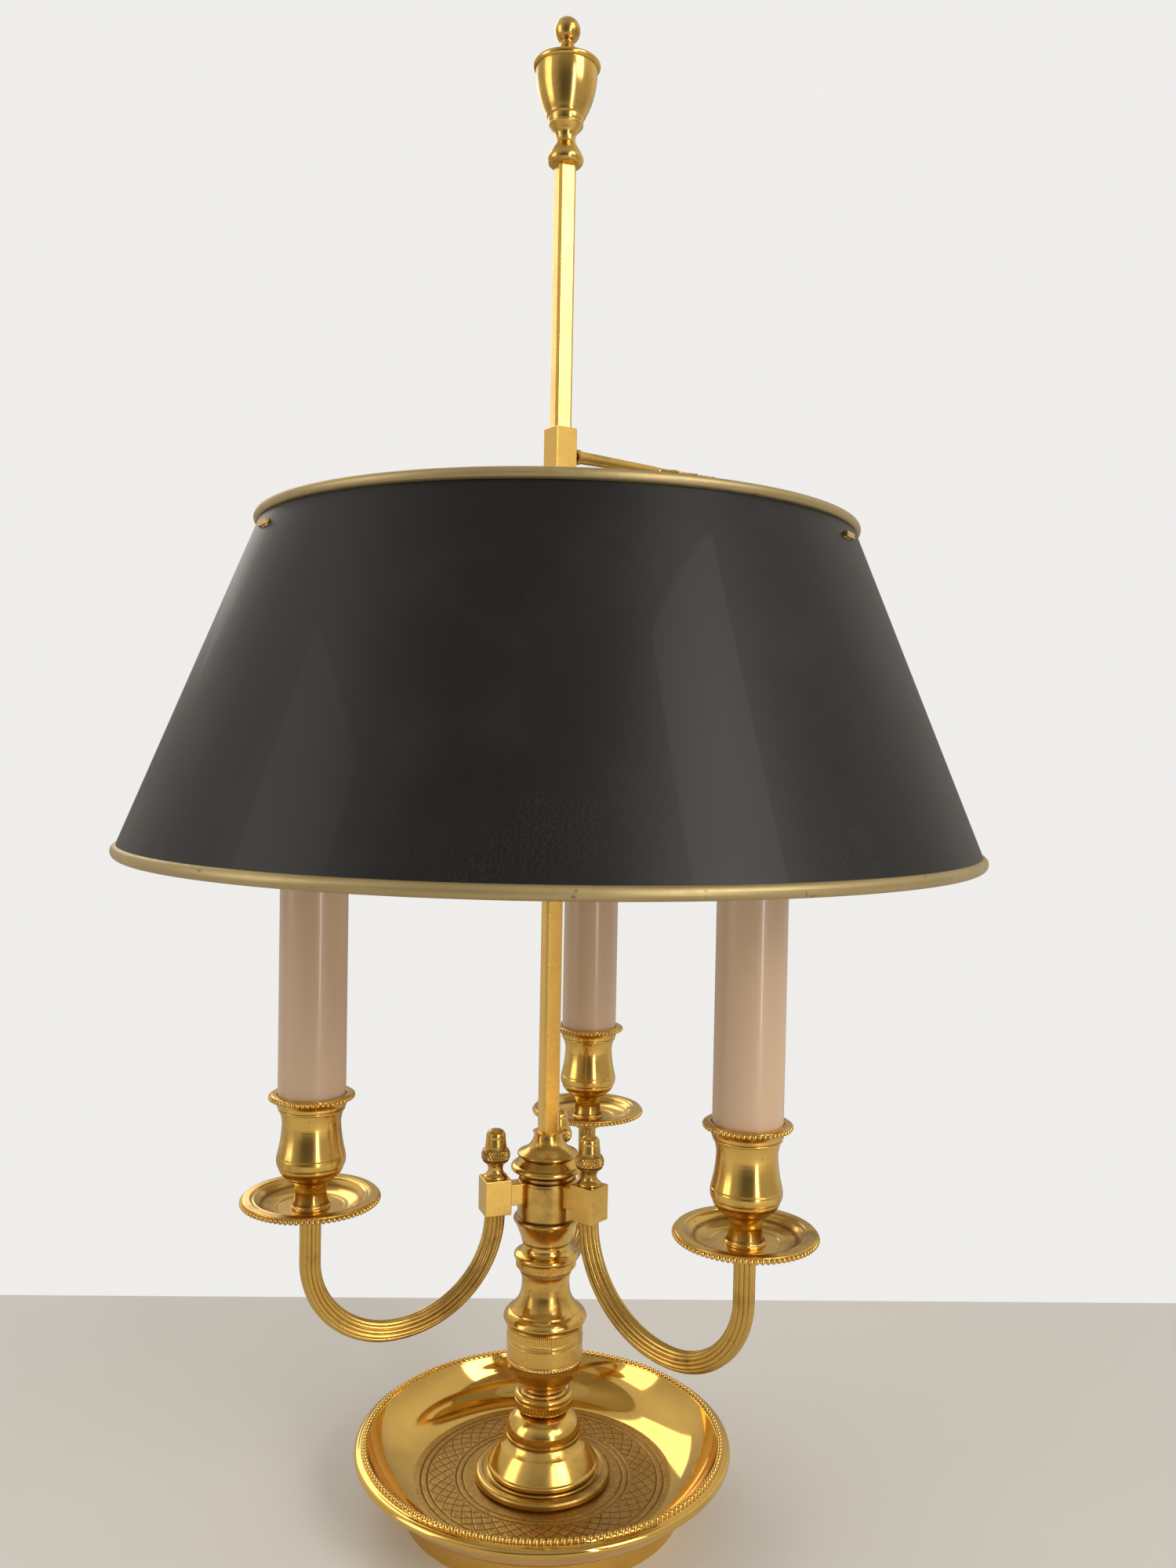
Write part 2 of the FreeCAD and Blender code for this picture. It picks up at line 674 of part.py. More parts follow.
def lampholder():
    """Skirted lampholder with a screw socket for the bulb's cap."""
    socket = bulb_cap_radius + running_gap + 0.04
    mouth_z = holder_top_z - bulb_cap_length
    return moved(turned(
        (3.4, holder_z), (holder_radius - 1.0, holder_z), (holder_radius, holder_z + 1.0),
        (holder_radius, holder_top_z - 14.0), (holder_radius - 0.5, holder_top_z - 13.5),
        (holder_radius - 0.5, holder_top_z - 1.0), (holder_radius - 1.5, holder_top_z),
        (socket, holder_top_z), (socket, mouth_z - 1.0), (3.4, mouth_z - 1.0)), x=candle_radius)


def bulb_cap():
    """Screw cap with its contact below."""
    bottom = holder_top_z - bulb_cap_length
    return moved(turned((0, bottom), (2.4, bottom), (3.0, bottom + 1.4),
                        (bulb_cap_radius - 1.4, bottom + 3.2),
                        (bulb_cap_radius, bottom + 4.6), (bulb_cap_radius, bulb_z),
                        (0, bulb_z)), x=candle_radius)


def bulb_glass():
    """Flame-shaped hollow bulb, open into its cap."""
    z = bulb_z
    top = z + bulb_height
    widest = z + 30.0
    wall = bulb_wall
    return moved(turned(
        (bulb_cap_radius - wall, z), (bulb_cap_radius, z), (bulb_neck_radius - 0.6, z + 4.0),
        (bulb_radius - 3.2, z + 15.0, bulb_radius, widest),
        (bulb_radius - 5.4, top - 20.0, 1.6, top - 1.0), (0.8, top), (0, top),
        (0, top - 2.6), (0.8, top - 2.6),
        (bulb_radius - 5.4 - wall, top - 20.5, bulb_radius - wall, widest),
        (bulb_radius - 3.2 - wall, z + 15.0, bulb_neck_radius - 0.6 - wall, z + 4.0)), x=candle_radius)


def slider_block():
    """Square block bored round for the shaft, with a threaded tail for the spider."""
    bottom = slider_top_z - slider_height
    half = slider_side / 2
    block = Part.makeBox(slider_side, slider_side, slider_height, V(-half, -half, bottom))
    block = block.makeChamfer(0.4, block.Edges)
    tail = cylinder(slider_tail_radius, bottom - slider_tail_length, bottom)
    shoulder = cylinder(slider_tail_radius + slider_tail_step, spider_top_z, bottom)
    bore = cylinder(shaft_corner_radius + running_gap, bottom - slider_tail_length - 1, slider_top_z + 1)
    screw = Part.makeCylinder(key_screw_radius + running_gap, slider_side, V(0, 0, key_z), V(1, 0, 0))
    return about_z(block.fuse(shoulder).fuse(tail).cut(bore).cut(screw), slider_azimuth)


def spider_nut():
    """Ring nut on the slider's tail: the spider turns between it and the shoulder."""
    top = spider_z
    bottom = top - spider_nut_height
    ring = turned((slider_tail_radius, bottom), (spider_nut_radius - 0.7, bottom),
                  (spider_nut_radius, bottom + 0.7), (spider_nut_radius, top - 0.7),
                  (spider_nut_radius - 0.7, top), (slider_tail_radius, top))
    return about_z(ring, slider_azimuth)


def arrow_key():
    """Arrow-shaped clamp key along X: a tapered shank and a flat notched feather blade."""
    start = key_start
    shank_end = start + key_shank_length
    end = slider_side / 2 + key_length
    shank = Part.makeCone(key_root_radius, key_shank_radius, key_shank_length, V(start, 0, key_z), V(1, 0, 0))
    collar = Part.makeCylinder(key_root_radius + 0.5, 1.4, V(start, 0, key_z), V(1, 0, 0))
    half = key_blade_width / 2
    pitch = (end - shank_end) / (key_barb_count + 1)
    spine = key_shank_radius
    upper = [V(shank_end - 4, spine * 0.7, 0), V(shank_end + pitch, half * 0.75, 0)]
    for n in range(key_barb_count):
        barb = shank_end + pitch * (n + 1)
        upper.append(V(barb + pitch * 0.86, half, 0))
        upper.append(V(barb + pitch * 0.62, half * 0.7, 0))
        upper.append(V(barb + pitch, half * 0.78, 0))
    upper.append(V(end, spine * 0.5, 0))
    lower = [V(p.x, -p.y, 0) for p in reversed(upper)]
    blade = Part.Face(Part.makePolygon(upper + lower + upper[:1]))
    blade = blade.extrude(V(0, 0, key_blade_thickness))
    blade.translate(V(0, 0, key_z - key_blade_thickness / 2))
    spine_bar = Part.makeCylinder(key_shank_radius, end - shank_end - 2, V(shank_end, 0, key_z), V(1, 0, 0))
    body = shank.fuse(collar).fuse(blade).fuse(spine_bar)
    for side in (1, -1):
        slot = Part.makeBox(key_slot_length, key_slot_width, key_blade_thickness + 2,
                            V(shank_end + pitch * 0.9, side * (spine + 1.6) - key_slot_width / 2,
                              key_z - key_blade_thickness / 2 - 1))
        body = body.cut(slot)
    return about_z(body, slider_azimuth)


def key_screw():
    """Threaded end of the key, from the shaft's face to the collar."""
    start = shaft_corner_radius + side_gap
    screw = Part.makeCylinder(key_screw_radius, key_start - start, V(start, 0, key_z), V(1, 0, 0))
    return about_z(screw, slider_azimuth)


def shade_radius_at(z):
    """Radius of the middle of the shade's sheet at a height."""
    share = (shade_top_z - z) / (shade_top_z - shade_bottom_z)
    return shade_top_radius + share * (shade_bottom_radius - shade_top_radius)


def shade_shell():
    """Cone of sheet metal, with three slots for the spider's tips."""
    half = shade_sheet / 2
    top_r, bottom_r = shade_top_radius, shade_bottom_radius
    cone = turned((bottom_r - half, shade_bottom_z), (bottom_r + half, shade_bottom_z),
                  (top_r + half, shade_top_z), (top_r - half, shade_top_z))
    for n in range(spider_arm_count):
        slot = box_at(40, slot_width, slot_height, top_r - 20, spider_z - 0.5)
        cone = cone.cut(about_z(slot, spider_azimuth + 360.0 * n / spider_arm_count))
    return cone


def shade_top_rim():
    """Round ring that stands on the cone's upper edge."""
    return Part.makeTorus(shade_top_radius, top_rim_radius, V(0, 0, shade_top_z + top_rim_radius))


def shade_bottom_rim():
    """Round ring under the cone's lower edge."""
    return Part.makeTorus(shade_bottom_radius, bottom_rim_radius,
                          V(0, 0, shade_bottom_z - bottom_rim_radius))


def spider():
    """Ring on the slider's tail, with three flat arms that reach through the shade's slots."""
    ring = cylinder(spider_ring_radius, spider_z, spider_top_z)
    reach = shade_radius_at(spider_z) + shade_sheet / 2 + spider_tip_reach
    body = ring
    for n in range(spider_arm_count):
        arm = box_at(reach - 8, spider_arm_width, spider_thickness, 8, spider_z)
        body = body.fuse(about_z(arm, spider_azimuth + 360.0 * n / spider_arm_count))
    return body.cut(cylinder(slider_tail_radius + running_gap, spider_z - 1, spider_top_z + 1))


def base_cover():
    """Cloth-covered disc that closes the foot."""
    return cylinder(foot_radius - foot_wall - 0.3, 0, cover_thickness)


def main():
    os.makedirs("parts", exist_ok=True)
    column = {
        "base_cover": base_cover, "base_weight": base_weight, "base_dish": base_dish,
        "base_bead_ring": base_bead_ring, "cord_bushing": cord_bushing, "tie_nut": tie_nut,
        "tie_washer": tie_washer, "tie_tube": tie_tube, "foot_ring": foot_ring, "bell_foot": bell_foot,
        "foot_dome": foot_dome, "knurled_knop": knurled_knop, "vase_bowl": vase_bowl,
        "knurled_band": knurled_band, "vase_neck": vase_neck, "neck_ring": neck_ring,
        "arm_hub": arm_hub, "hub_collar": hub_collar, "shaft_socket": shaft_socket, "shaft": shaft,
        "finial": finial, "slider_block": slider_block, "spider_nut": spider_nut,
        "arrow_key": arrow_key, "key_screw": key_screw, "spider": spider,
        "shade_shell": shade_shell, "shade_top_rim": shade_top_rim, "shade_bottom_rim": shade_bottom_rim}
    for name, make in column.items():
        write(name, make())
    repeated = {
        "arm_tube": arm_tube(), "acorn_nut": acorn_nut(), "drip_pan": drip_pan(), "candle_cup": candle_cup(),
        "candle_sleeve": candle_sleeve(), "holder_tube": holder_tube(), "lampholder": lampholder(),
        "bulb_cap": bulb_cap(), "bulb_glass": bulb_glass()}
    for name, shape in repeated.items():
        for n in range(arm_count):
            write(f"{name}_{n + 1}", about_z(shape, arm_azimuth(n)))


main()
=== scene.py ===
"""Looks of the three-light bouillotte lamp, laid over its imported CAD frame.

Turned pieces are fine surfaces of revolution over the CAD solids, with the beads, knurls,
flutes, reeds and engraving that the CAD model leaves plain. Sizes in the tables are in
millimetres, and the meshes are in metres.
"""
import json
import math
import bpy
import numpy as np
from mathutils import Matrix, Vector
from bpy.props import FloatProperty, FloatVectorProperty, IntProperty, PointerProperty


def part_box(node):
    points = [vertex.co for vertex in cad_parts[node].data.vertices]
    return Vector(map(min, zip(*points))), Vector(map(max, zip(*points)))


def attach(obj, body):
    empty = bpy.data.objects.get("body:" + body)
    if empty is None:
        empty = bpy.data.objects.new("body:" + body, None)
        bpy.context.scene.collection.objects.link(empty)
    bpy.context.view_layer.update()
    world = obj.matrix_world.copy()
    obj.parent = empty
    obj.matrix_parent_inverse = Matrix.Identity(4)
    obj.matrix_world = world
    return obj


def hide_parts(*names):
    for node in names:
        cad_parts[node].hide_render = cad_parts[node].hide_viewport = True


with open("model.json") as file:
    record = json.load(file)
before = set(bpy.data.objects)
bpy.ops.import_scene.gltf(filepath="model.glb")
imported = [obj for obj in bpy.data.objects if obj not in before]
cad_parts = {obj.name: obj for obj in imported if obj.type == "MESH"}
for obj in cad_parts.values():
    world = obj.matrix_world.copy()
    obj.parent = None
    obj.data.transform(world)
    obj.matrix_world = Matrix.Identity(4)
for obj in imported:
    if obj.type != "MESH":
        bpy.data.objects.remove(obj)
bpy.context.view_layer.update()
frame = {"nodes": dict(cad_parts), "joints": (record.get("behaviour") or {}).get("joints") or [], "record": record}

bl_info = {
    "name": "Bouillotte Lamp",
    "version": (1, 0, 0),
    "blender": (4, 5, 0),
    "location": "View3D > Sidebar > Lamp",
    "description": "Builds the looks of a three-light bouillotte lamp over its CAD frame",
    "category": "Object",
}

MM = 0.001
BODY_OF = {node: body for body, nodes in frame["record"]["behaviour"]["bodies"].items() for node in nodes}
SLOT_OF = {part["node"]: part["material_slot"] for part in frame["record"]["subparts"]}
ARMS = (1, 2, 3)
FIRST_ARM = 78.7          # azimuth of arm 1, the next ones follow at 120 degrees
CANDLE = 101.0            # from the column to the candles
PIVOT = 23.4              # from the column to the studs and nuts of the arms
SHAFT_TURN = 22.0         # azimuth of the square shaft
FLOOR_Z = 10.5            # top of the dish's floor
ENGRAVED = (34.6, 37.2, 49.7, 52.5)
SLEEVE_TOP = 289.8
SHADE_LOW, SHADE_HIGH = 286.2, 414.4
SHEET = 0.7               # thickness of the shade
KEY_Z = 450.8
finishes = {}


def edge(node, corner, axis):
    """Edge of a CAD node's box in millimetres: its low (0) or high (1) corner along an axis."""
    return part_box(node)[corner][axis] * 1000


def arm_azimuth(n):
    return FIRST_ARM + 120 * (n - 1)


def reach(node, azimuth):
    """Furthest point of a CAD node along an azimuth, in millimetres."""
    vertices = frame["nodes"][node].data.vertices
    points = np.empty(3 * len(vertices))
    vertices.foreach_get("co", points)
    turn = math.radians(azimuth)
    return (points.reshape(-1, 3) @ (math.cos(turn), math.sin(turn), 0)).max() * 1000


# Read from the frame: the slider's azimuth from its key's joint, the key's end, the radii of the
# shade's rims, and how far pans, cups and sleeves stand from the heights in the tables below
KEY_AXIS = next(joint["axis"] for joint in frame["joints"] if joint["name"] == "key_turn")
SLIDER_TURN = math.degrees(math.atan2(KEY_AXIS[1], KEY_AXIS[0]))
UPPER_TUBE = 2.1
LOWER_TUBE = 2.5
UPPER_RING = (edge("shade_top_rim", 1, 0) - edge("shade_top_rim", 0, 0)) / 2 - UPPER_TUBE
LOWER_RING = (edge("shade_bottom_rim", 1, 0) - edge("shade_bottom_rim", 0, 0)) / 2 - LOWER_TUBE
SHADE_SLOPE = (LOWER_RING - UPPER_RING) / (SHADE_HIGH - SHADE_LOW)
LIFT = edge("candle_sleeve_1", 1, 2) - SLEEVE_TOP
KEY_END = reach("arrow_key", SLIDER_TURN) - 0.05


# Profiles

def arc(a, b, c, count):
    """Points after a, up to c, on the circle through three points of a profile."""
    a, b, c = (np.array(p, float) for p in (a, b, c))
    ab, ac = b - a, c - a
    cross = 2 * (ab[0] * ac[1] - ab[1] * ac[0])
    share = np.linspace(0, 1, count + 1)[1:, None]
    if abs(cross) < 1e-6:
        return a + share * ac
    centre = a + np.array([ac[1] * (ab @ ab) - ab[1] * (ac @ ac),
                           ab[0] * (ac @ ac) - ac[0] * (ab @ ab)]) / cross
    turns = [math.atan2(p[1] - centre[1], p[0] - centre[0]) for p in (a, b, c)]
    sweep = (turns[2] - turns[0]) % math.tau
    if (turns[1] - turns[0]) % math.tau > sweep:
        sweep -= math.tau
    angle = turns[0] + sweep * share
    return centre + np.hypot(*(a - centre)) * np.hstack([np.cos(angle), np.sin(angle)])


def profile(start, *steps, fine=9):
    """Radii and heights along an outline: a pair ends a line, and four numbers are an arc's
    middle and end."""
    points = [np.array([start], float)]
    for step in steps:
        here = points[-1][-1]
        points.append(arc(here, step[:2], step[2:], fine) if len(step) == 4 else np.array([step], float))
    points = np.vstack(points)
    kept = np.hypot(*np.diff(points, axis=0, prepend=points[:1] - 1).T) > 1e-4
    return points[kept]


def softened(points, soft, closed):
    """Rounds every corner over 15 degrees, with a support point on both sides of each round."""
    back = np.roll(points, 1, 0) - points
    ahead = np.roll(points, -1, 0) - points
    back_length = np.hypot(*back.T)[:, None]
    ahead_length = np.hypot(*ahead.T)[:, None]
    straight = -(back * ahead).sum(1)[:, None] / (back_length * ahead_length)
    corner = straight[:, 0] < math.cos(math.radians(15))
    if not closed:
        corner[[0, -1]] = False
    cut = np.minimum(soft, 0.22 * np.minimum(back_length, ahead_length))
    before = points + back / back_length * cut
    after = points + ahead / ahead_length * cut
    middle = points / 2 + (before + after) / 4
    group = np.stack([points + back / back_length * cut * 2, before, middle, after,
                      points + ahead / ahead_length * cut * 2], 1)
    group[~corner, 2] = points[~corner]
    keep = np.repeat(corner[:, None], 5, 1)
    keep[:, 2] = True
    return group[keep]


def refined(points, longest, closed):
    """Splits the steps of a profile that are longer than a given length."""
    ends = np.vstack([points, points[:1]]) if closed else points
    rows = []
    for a, b in zip(ends[:-1], ends[1:]):
        count = max(1, math.ceil(np.hypot(*(b - a)) / longest))
        rows.append(a + (b - a) * np.arange(count)[:, None] / count)
    return np.vstack(rows if closed else rows + [ends[-1:]])


def flutes(count, depth, low, high, slant=0.0, crossed=False):
    """Change of radius for flutes between two heights: minus the depth where the sine of half
    the count times the angle, plus the slant times the height, is zero."""
    def change(angle, z):
        inside = np.clip((z - low) / 0.25, 0, 1) * np.clip((high - z) / 0.25, 0, 1)
        ridge = np.abs(np.sin(count * angle / 2 + slant * (z - low)))
        if crossed:
            ridge = np.minimum(ridge, np.abs(np.sin(count * angle / 2 - slant * (z - low))))
        return -depth * inside * (1 - ridge)
    return change


# Meshes

def grid_faces(rows, columns, wrap_rows):
    """Quads of a grid whose columns wrap round, and whose rows do so if asked."""
    i = np.arange(rows if wrap_rows else rows - 1)[:, None]
    j = np.arange(columns)[None, :]
    i_next, j_next = (i + 1) % rows, (j + 1) % columns
    corners = (i * columns + j, i * columns + j_next,
               i_next * columns + j_next, i_next * columns + j)
    return np.stack(corners, -1).reshape(-1, 4)


def placed(points, shift, azimuth, lift=0.0):
    """Moves points out along X and up, then turns them about Z."""
    turn = math.radians(azimuth)
    x, y, z = points[:, 0] + shift, points[:, 1], points[:, 2]
    return np.stack([x * math.cos(turn) - y * math.sin(turn),
                     x * math.sin(turn) + y * math.cos(turn), z + lift], 1)


def add_object(name, points, faces, node, finish=None, replace=True, smooth=40):
    """Makes a mesh of points in millimetres, in the body and material slot of a CAD node."""
    mesh = bpy.data.meshes.new(name)
    mesh.from_pydata((points * MM).tolist(), [], faces)
    mesh.validate()
    mesh.shade_smooth()
    if smooth < 180:
        mesh.set_sharp_from_angle(angle=math.radians(smooth))
    piece = bpy.data.objects.new(name, mesh)
    bpy.context.scene.collection.objects.link(piece)
    mesh.materials.append(finishes[finish or SLOT_OF[node]])
    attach(piece, BODY_OF[node])
    if replace:
        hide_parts(node)
    return piece


def capped(points, rows, columns):
    """Points and faces of a grid with its first and last row shrunk to a pole."""
    inner = grid_faces(rows - 2, columns, False)
    poles = np.array([points[:columns].mean(0), points[-columns:].mean(0)])
    body = np.vstack([points[columns:-columns], poles])
    first, last = len(body) - 2, len(body) - 1
    j = np.arange(columns)
    j_next = (j + 1) % columns
    top = (rows - 3) * columns
    fans = [np.stack([np.full(columns, first), j_next, j], 1),
            np.stack([top + j, top + j_next, np.full(columns, last)], 1)]
    return body, inner.tolist() + np.vstack(fans).tolist()


def lathe(name, node, points, turns=144, ripple=None, step=0.45, shift=0.0, azimuth=0.0, lift=0.0,
          soft=0.22, finish=None, replace=True):
    """Surface of revolution: a profile's radius r and height z go to (r cos a, r sin a, z), with
    the ripple's change added to r. A profile that starts on the axis gets poles, another closes."""
    closed = points[0][0] > 1e-6
    points = softened(points, soft, closed)
    if ripple:
        points = refined(points, step, closed)
    angle = np.arange(turns)[None, :] * math.tau / turns
    radius = points[:, :1] + 0 * angle
    height = points[:, 1:] + 0 * angle
    if ripple:
        radius = radius + ripple(angle, height) * (radius > 5.5)
    surface = np.stack([radius * np.cos(angle), radius * np.sin(angle), height], -1).reshape(-1, 3)
    surface = placed(surface, shift, azimuth, lift)
    if closed:
        faces = grid_faces(len(points), turns, True).tolist()
    else:
        surface, faces = capped(surface, len(points), turns)
    return add_object(name, surface, faces, node, finish, replace)


def beads(name, node, count, ring, height, radius, shift=0.0, azimuth=0.0, lift=0.0):
    """Ring of small balls: bead k stands at the angle of k turns over the count."""
    across = np.arange(8) * math.tau / 8
    up = np.linspace(-math.pi / 2, math.pi / 2, 6)[:, None]
    ball = np.stack([np.cos(up) * np.cos(across), np.cos(up) * np.sin(across),
                     np.sin(up) + 0 * across], -1)
    ball, faces = capped(ball.reshape(-1, 3) * radius, 6, 8)
    turn = np.arange(count) * math.tau / count
    centres = np.stack([ring * np.cos(turn), ring * np.sin(turn), np.full(count, height)], 1)
    points = placed((centres[:, None] + ball[None]).reshape(-1, 3), shift, azimuth, lift)
    every = [[v + k * len(ball) for v in face] for k in range(count) for face in faces]
    return add_object(name, points, every, node, replace=False, smooth=180)


def prism(name, node, corners, low, high, azimuth, bevel, finish=None, replace=True, shift=0.0):
    """Upright bar over a polygon of corners, with its edges rounded by a bevel."""
    count = len(corners)
    flat = np.array(corners, float)
    points = np.vstack([np.c_[flat, np.full(count, low)], np.c_[flat, np.full(count, high)]])
    sides = [[j, (j + 1) % count, count + (j + 1) % count, count + j] for j in range(count)]
    faces = sides + [list(range(count))[::-1], list(range(count, 2 * count))]
    piece = add_object(name, placed(points, shift, azimuth), faces, node, finish, replace)
    rounding = piece.modifiers.new("Edges", "BEVEL")
    rounding.width = bevel * MM
    rounding.segments = 3
    rounding.harden_normals = True
    return piece


def square(side, chamfer=0.0):
    """Corners of a square about the origin, cut by a chamfer if there is one."""
    half, cut = side / 2, side / 2 - chamfer
    if not chamfer:
        return [(half, -half), (half, half), (-half, half), (-half, -half)]
    return [(half, -cut), (half, cut), (cut, half), (-cut, half), (-half, cut), (-half, -cut),
            (-cut, -half), (cut, -half)]


# Materials

class Field:
    """A value inside a shader. Arithmetic on it adds math nodes."""

    def __init__(self, tree, socket):
        self.tree = tree
        self.socket = socket

    def math(self, operation, *terms):
        node = self.tree.nodes.new("ShaderNodeMath")
        node.operation = operation
        for entry, term in zip(node.inputs, terms):
            if isinstance(term, Field):
                self.tree.links.new(term.socket, entry)
            else:
                entry.default_value = term
        return Field(self.tree, node.outputs[0])

    def __add__(self, other):
        return self.math("ADD", self, other)

    def __sub__(self, other):
        return self.math("SUBTRACT", self, other)

    def __rsub__(self, other):
        return self.math("SUBTRACT", other, self)

    def __mul__(self, other):
        return self.math("MULTIPLY", self, other)

    def __truediv__(self, other):
        return self.math("DIVIDE", self, other)

    __radd__ = __add__
    __rmul__ = __mul__

    def __abs__(self):
        return self.math("ABSOLUTE", self)

    def capped(self):
        """Never over 1."""
        return self.math("MINIMUM", self, 1.0)

    def smooth(self, low, high):
        """Rises from 0 to 1 between two values."""
        node = self.tree.nodes.new("ShaderNodeMapRange")
        node.interpolation_type = "SMOOTHSTEP"
        self.tree.links.new(self.socket, node.inputs["Value"])
        node.inputs["From Min"].default_value = low
        node.inputs["From Max"].default_value = high
        return Field(self.tree, node.outputs[0])

    def near(self, value, width):
        """1 at a value, falling to 0 at a distance from it."""
        return 1 - abs(self - value).smooth(0, width)

    def line(self, width):
        """1 where the field is a whole number, falling to 0 at a distance from it."""
        return 1 - abs(self.math("FRACT", self + 0.5) - 0.5).smooth(0, width)


class Finish:
    """A procedural material on object coordinates."""

    def __init__(self, name, **values):
        self.material = bpy.data.materials.new(name)
        self.material.use_nodes = True
        self.tree = self.material.node_tree
        self.shader = next(n for n in self.tree.nodes if n.type == "BSDF_PRINCIPLED")
        coordinates = self.tree.nodes.new("ShaderNodeTexCoord")
        self.place = coordinates.outputs["Object"]
        split = self.tree.nodes.new("ShaderNodeSeparateXYZ")
        self.tree.links.new(self.place, split.inputs[0])
        self.x, self.y, self.z = (Field(self.tree, s) / MM for s in split.outputs)
        squares = self.x * self.x + self.y * self.y
        self.radius = squares.math("POWER", squares, 0.5)
        self.angle = self.x.math("ARCTAN2", self.y, self.x)
        for key, value in values.items():
            self.set(key.replace("_", " ").title().replace("Ior", "IOR"), value)
        finishes[name] = self.material

    def set(self, key, value):
        if isinstance(value, Field):
            self.tree.links.new(value.socket, self.shader.inputs[key])
        else:
            self.shader.inputs[key].default_value = value

    def noise(self, scale, detail=3.0, roughness=0.5, stretch=(1, 1, 1), cells=None):
        """Noise, or cells with a given feature, at a scale in turns per metre."""
        mapping = self.tree.nodes.new("ShaderNodeMapping")
        mapping.inputs["Scale"].default_value = stretch
        self.tree.links.new(self.place, mapping.inputs["Vector"])
        node = self.tree.nodes.new("ShaderNodeTexVoronoi" if cells else "ShaderNodeTexNoise")
        self.tree.links.new(mapping.outputs[0], node.inputs["Vector"])
        node.inputs["Scale"].default_value = scale
        if cells:
            node.feature = cells
            return Field(self.tree, node.outputs["Distance"])
        node.inputs["Detail"].default_value = detail
        node.inputs["Roughness"].default_value = roughness
        return Field(self.tree, node.outputs["Fac"])

    def mix(self, share, first, second):
        """Colour between two colours, by a field."""
        node = self.tree.nodes.new("ShaderNodeMix")
        node.data_type = "RGBA"
        self.tree.links.new(share.socket, node.inputs[0])
        for entry, colour in ((node.inputs[6], first), (node.inputs[7], second)):
            if isinstance(colour, Field):
                self.tree.links.new(colour.socket, entry)
            else:
                entry.default_value = (*colour, 1.0)
        return Field(self.tree, node.outputs[2])

    def bump(self, height, depth_mm):
        node = self.tree.nodes.new("ShaderNodeBump")
        node.inputs["Distance"].default_value = depth_mm * MM
        self.tree.links.new(height.socket, node.inputs["Height"])
        self.set("Normal", Field(self.tree, node.outputs[0]))


def brass(name, bright, dark, rough, patina=0.5, joints=(), mottle=0.0):
    """Brass with brown patina in clouds and at the joints' heights, turning lines and spots. A raised patina
    amount darkens the clouds further as painted dark reflection.
    """
    metal = Finish(name, metallic=1.0)
    # The dark clouds are patina. Where the amount is raised, as on the column, they are partly painted dark
    # reflection.
    clouds = metal.noise(38, 5, 0.62).smooth(0.46, 0.72) * patina
    spots = metal.noise(420, 2, 0.5).smooth(0.66, 0.74) * 0.5
    for height in joints:
        clouds = clouds + metal.z.near(height, 0.9) * 0.8
    patina_and_painted_reflection = (clouds + spots * patina).capped()
    metal.set("Base Color", metal.mix(patina_and_painted_reflection, bright, dark))
    lines = metal.noise(60, 2, 0.5, stretch=(1, 1, 70))
    metal.set("Roughness", metal.noise(90, 3, 0.6) * 0.12 + patina_and_painted_reflection * 0.22 + (rough - 0.06))
    height = lines * 0.35 + metal.noise(160, 3) * (0.4 + mottle)
    metal.bump(height, 0.035 + 0.1 * mottle)
    return metal


def dish_finish(look, bright, dark):
    """Polished dish whose dull floor has engraved rings and a lattice of crossing spirals."""
    dish = brass("dish_brass", bright, dark, 0.1, 0.2)
    floor = (56.4 - dish.radius).smooth(0, 1.2) * (12.5 - dish.z).smooth(0, 0.5)
    around = dish.angle * (look.lattice_count / math.tau)
    along = dish.radius / 5.4
    lattice = (around + along).line(0.13) + (around - along).line(0.13)
    band = (dish.radius - 38.2).smooth(0, 0.2) * (49.0 - dish.radius).smooth(0, 0.2) * floor
    rings = sum((dish.radius.near(ring, 0.7) for ring in ENGRAVED), 0.0) * floor
    grain = dish.noise(900, 4, 0.7)
    marks = (lattice * band).capped()
    aged = floor * (0.42 + 0.5 * grain.smooth(0.3, 0.8)) + (marks + rings) * 0.45
    polished = dish.shader.inputs["Base Color"].links[0].from_socket
    dish.set("Base Color", dish.mix(aged, Field(dish.tree, polished), dark))
    dish.set("Roughness", dish.noise(60, 3) * 0.05 + 0.05 + floor * 0.3)
    dish.bump(dish.noise(22, 2) * 0.35 - marks * 0.5 + grain * floor * 0.4, 0.2)


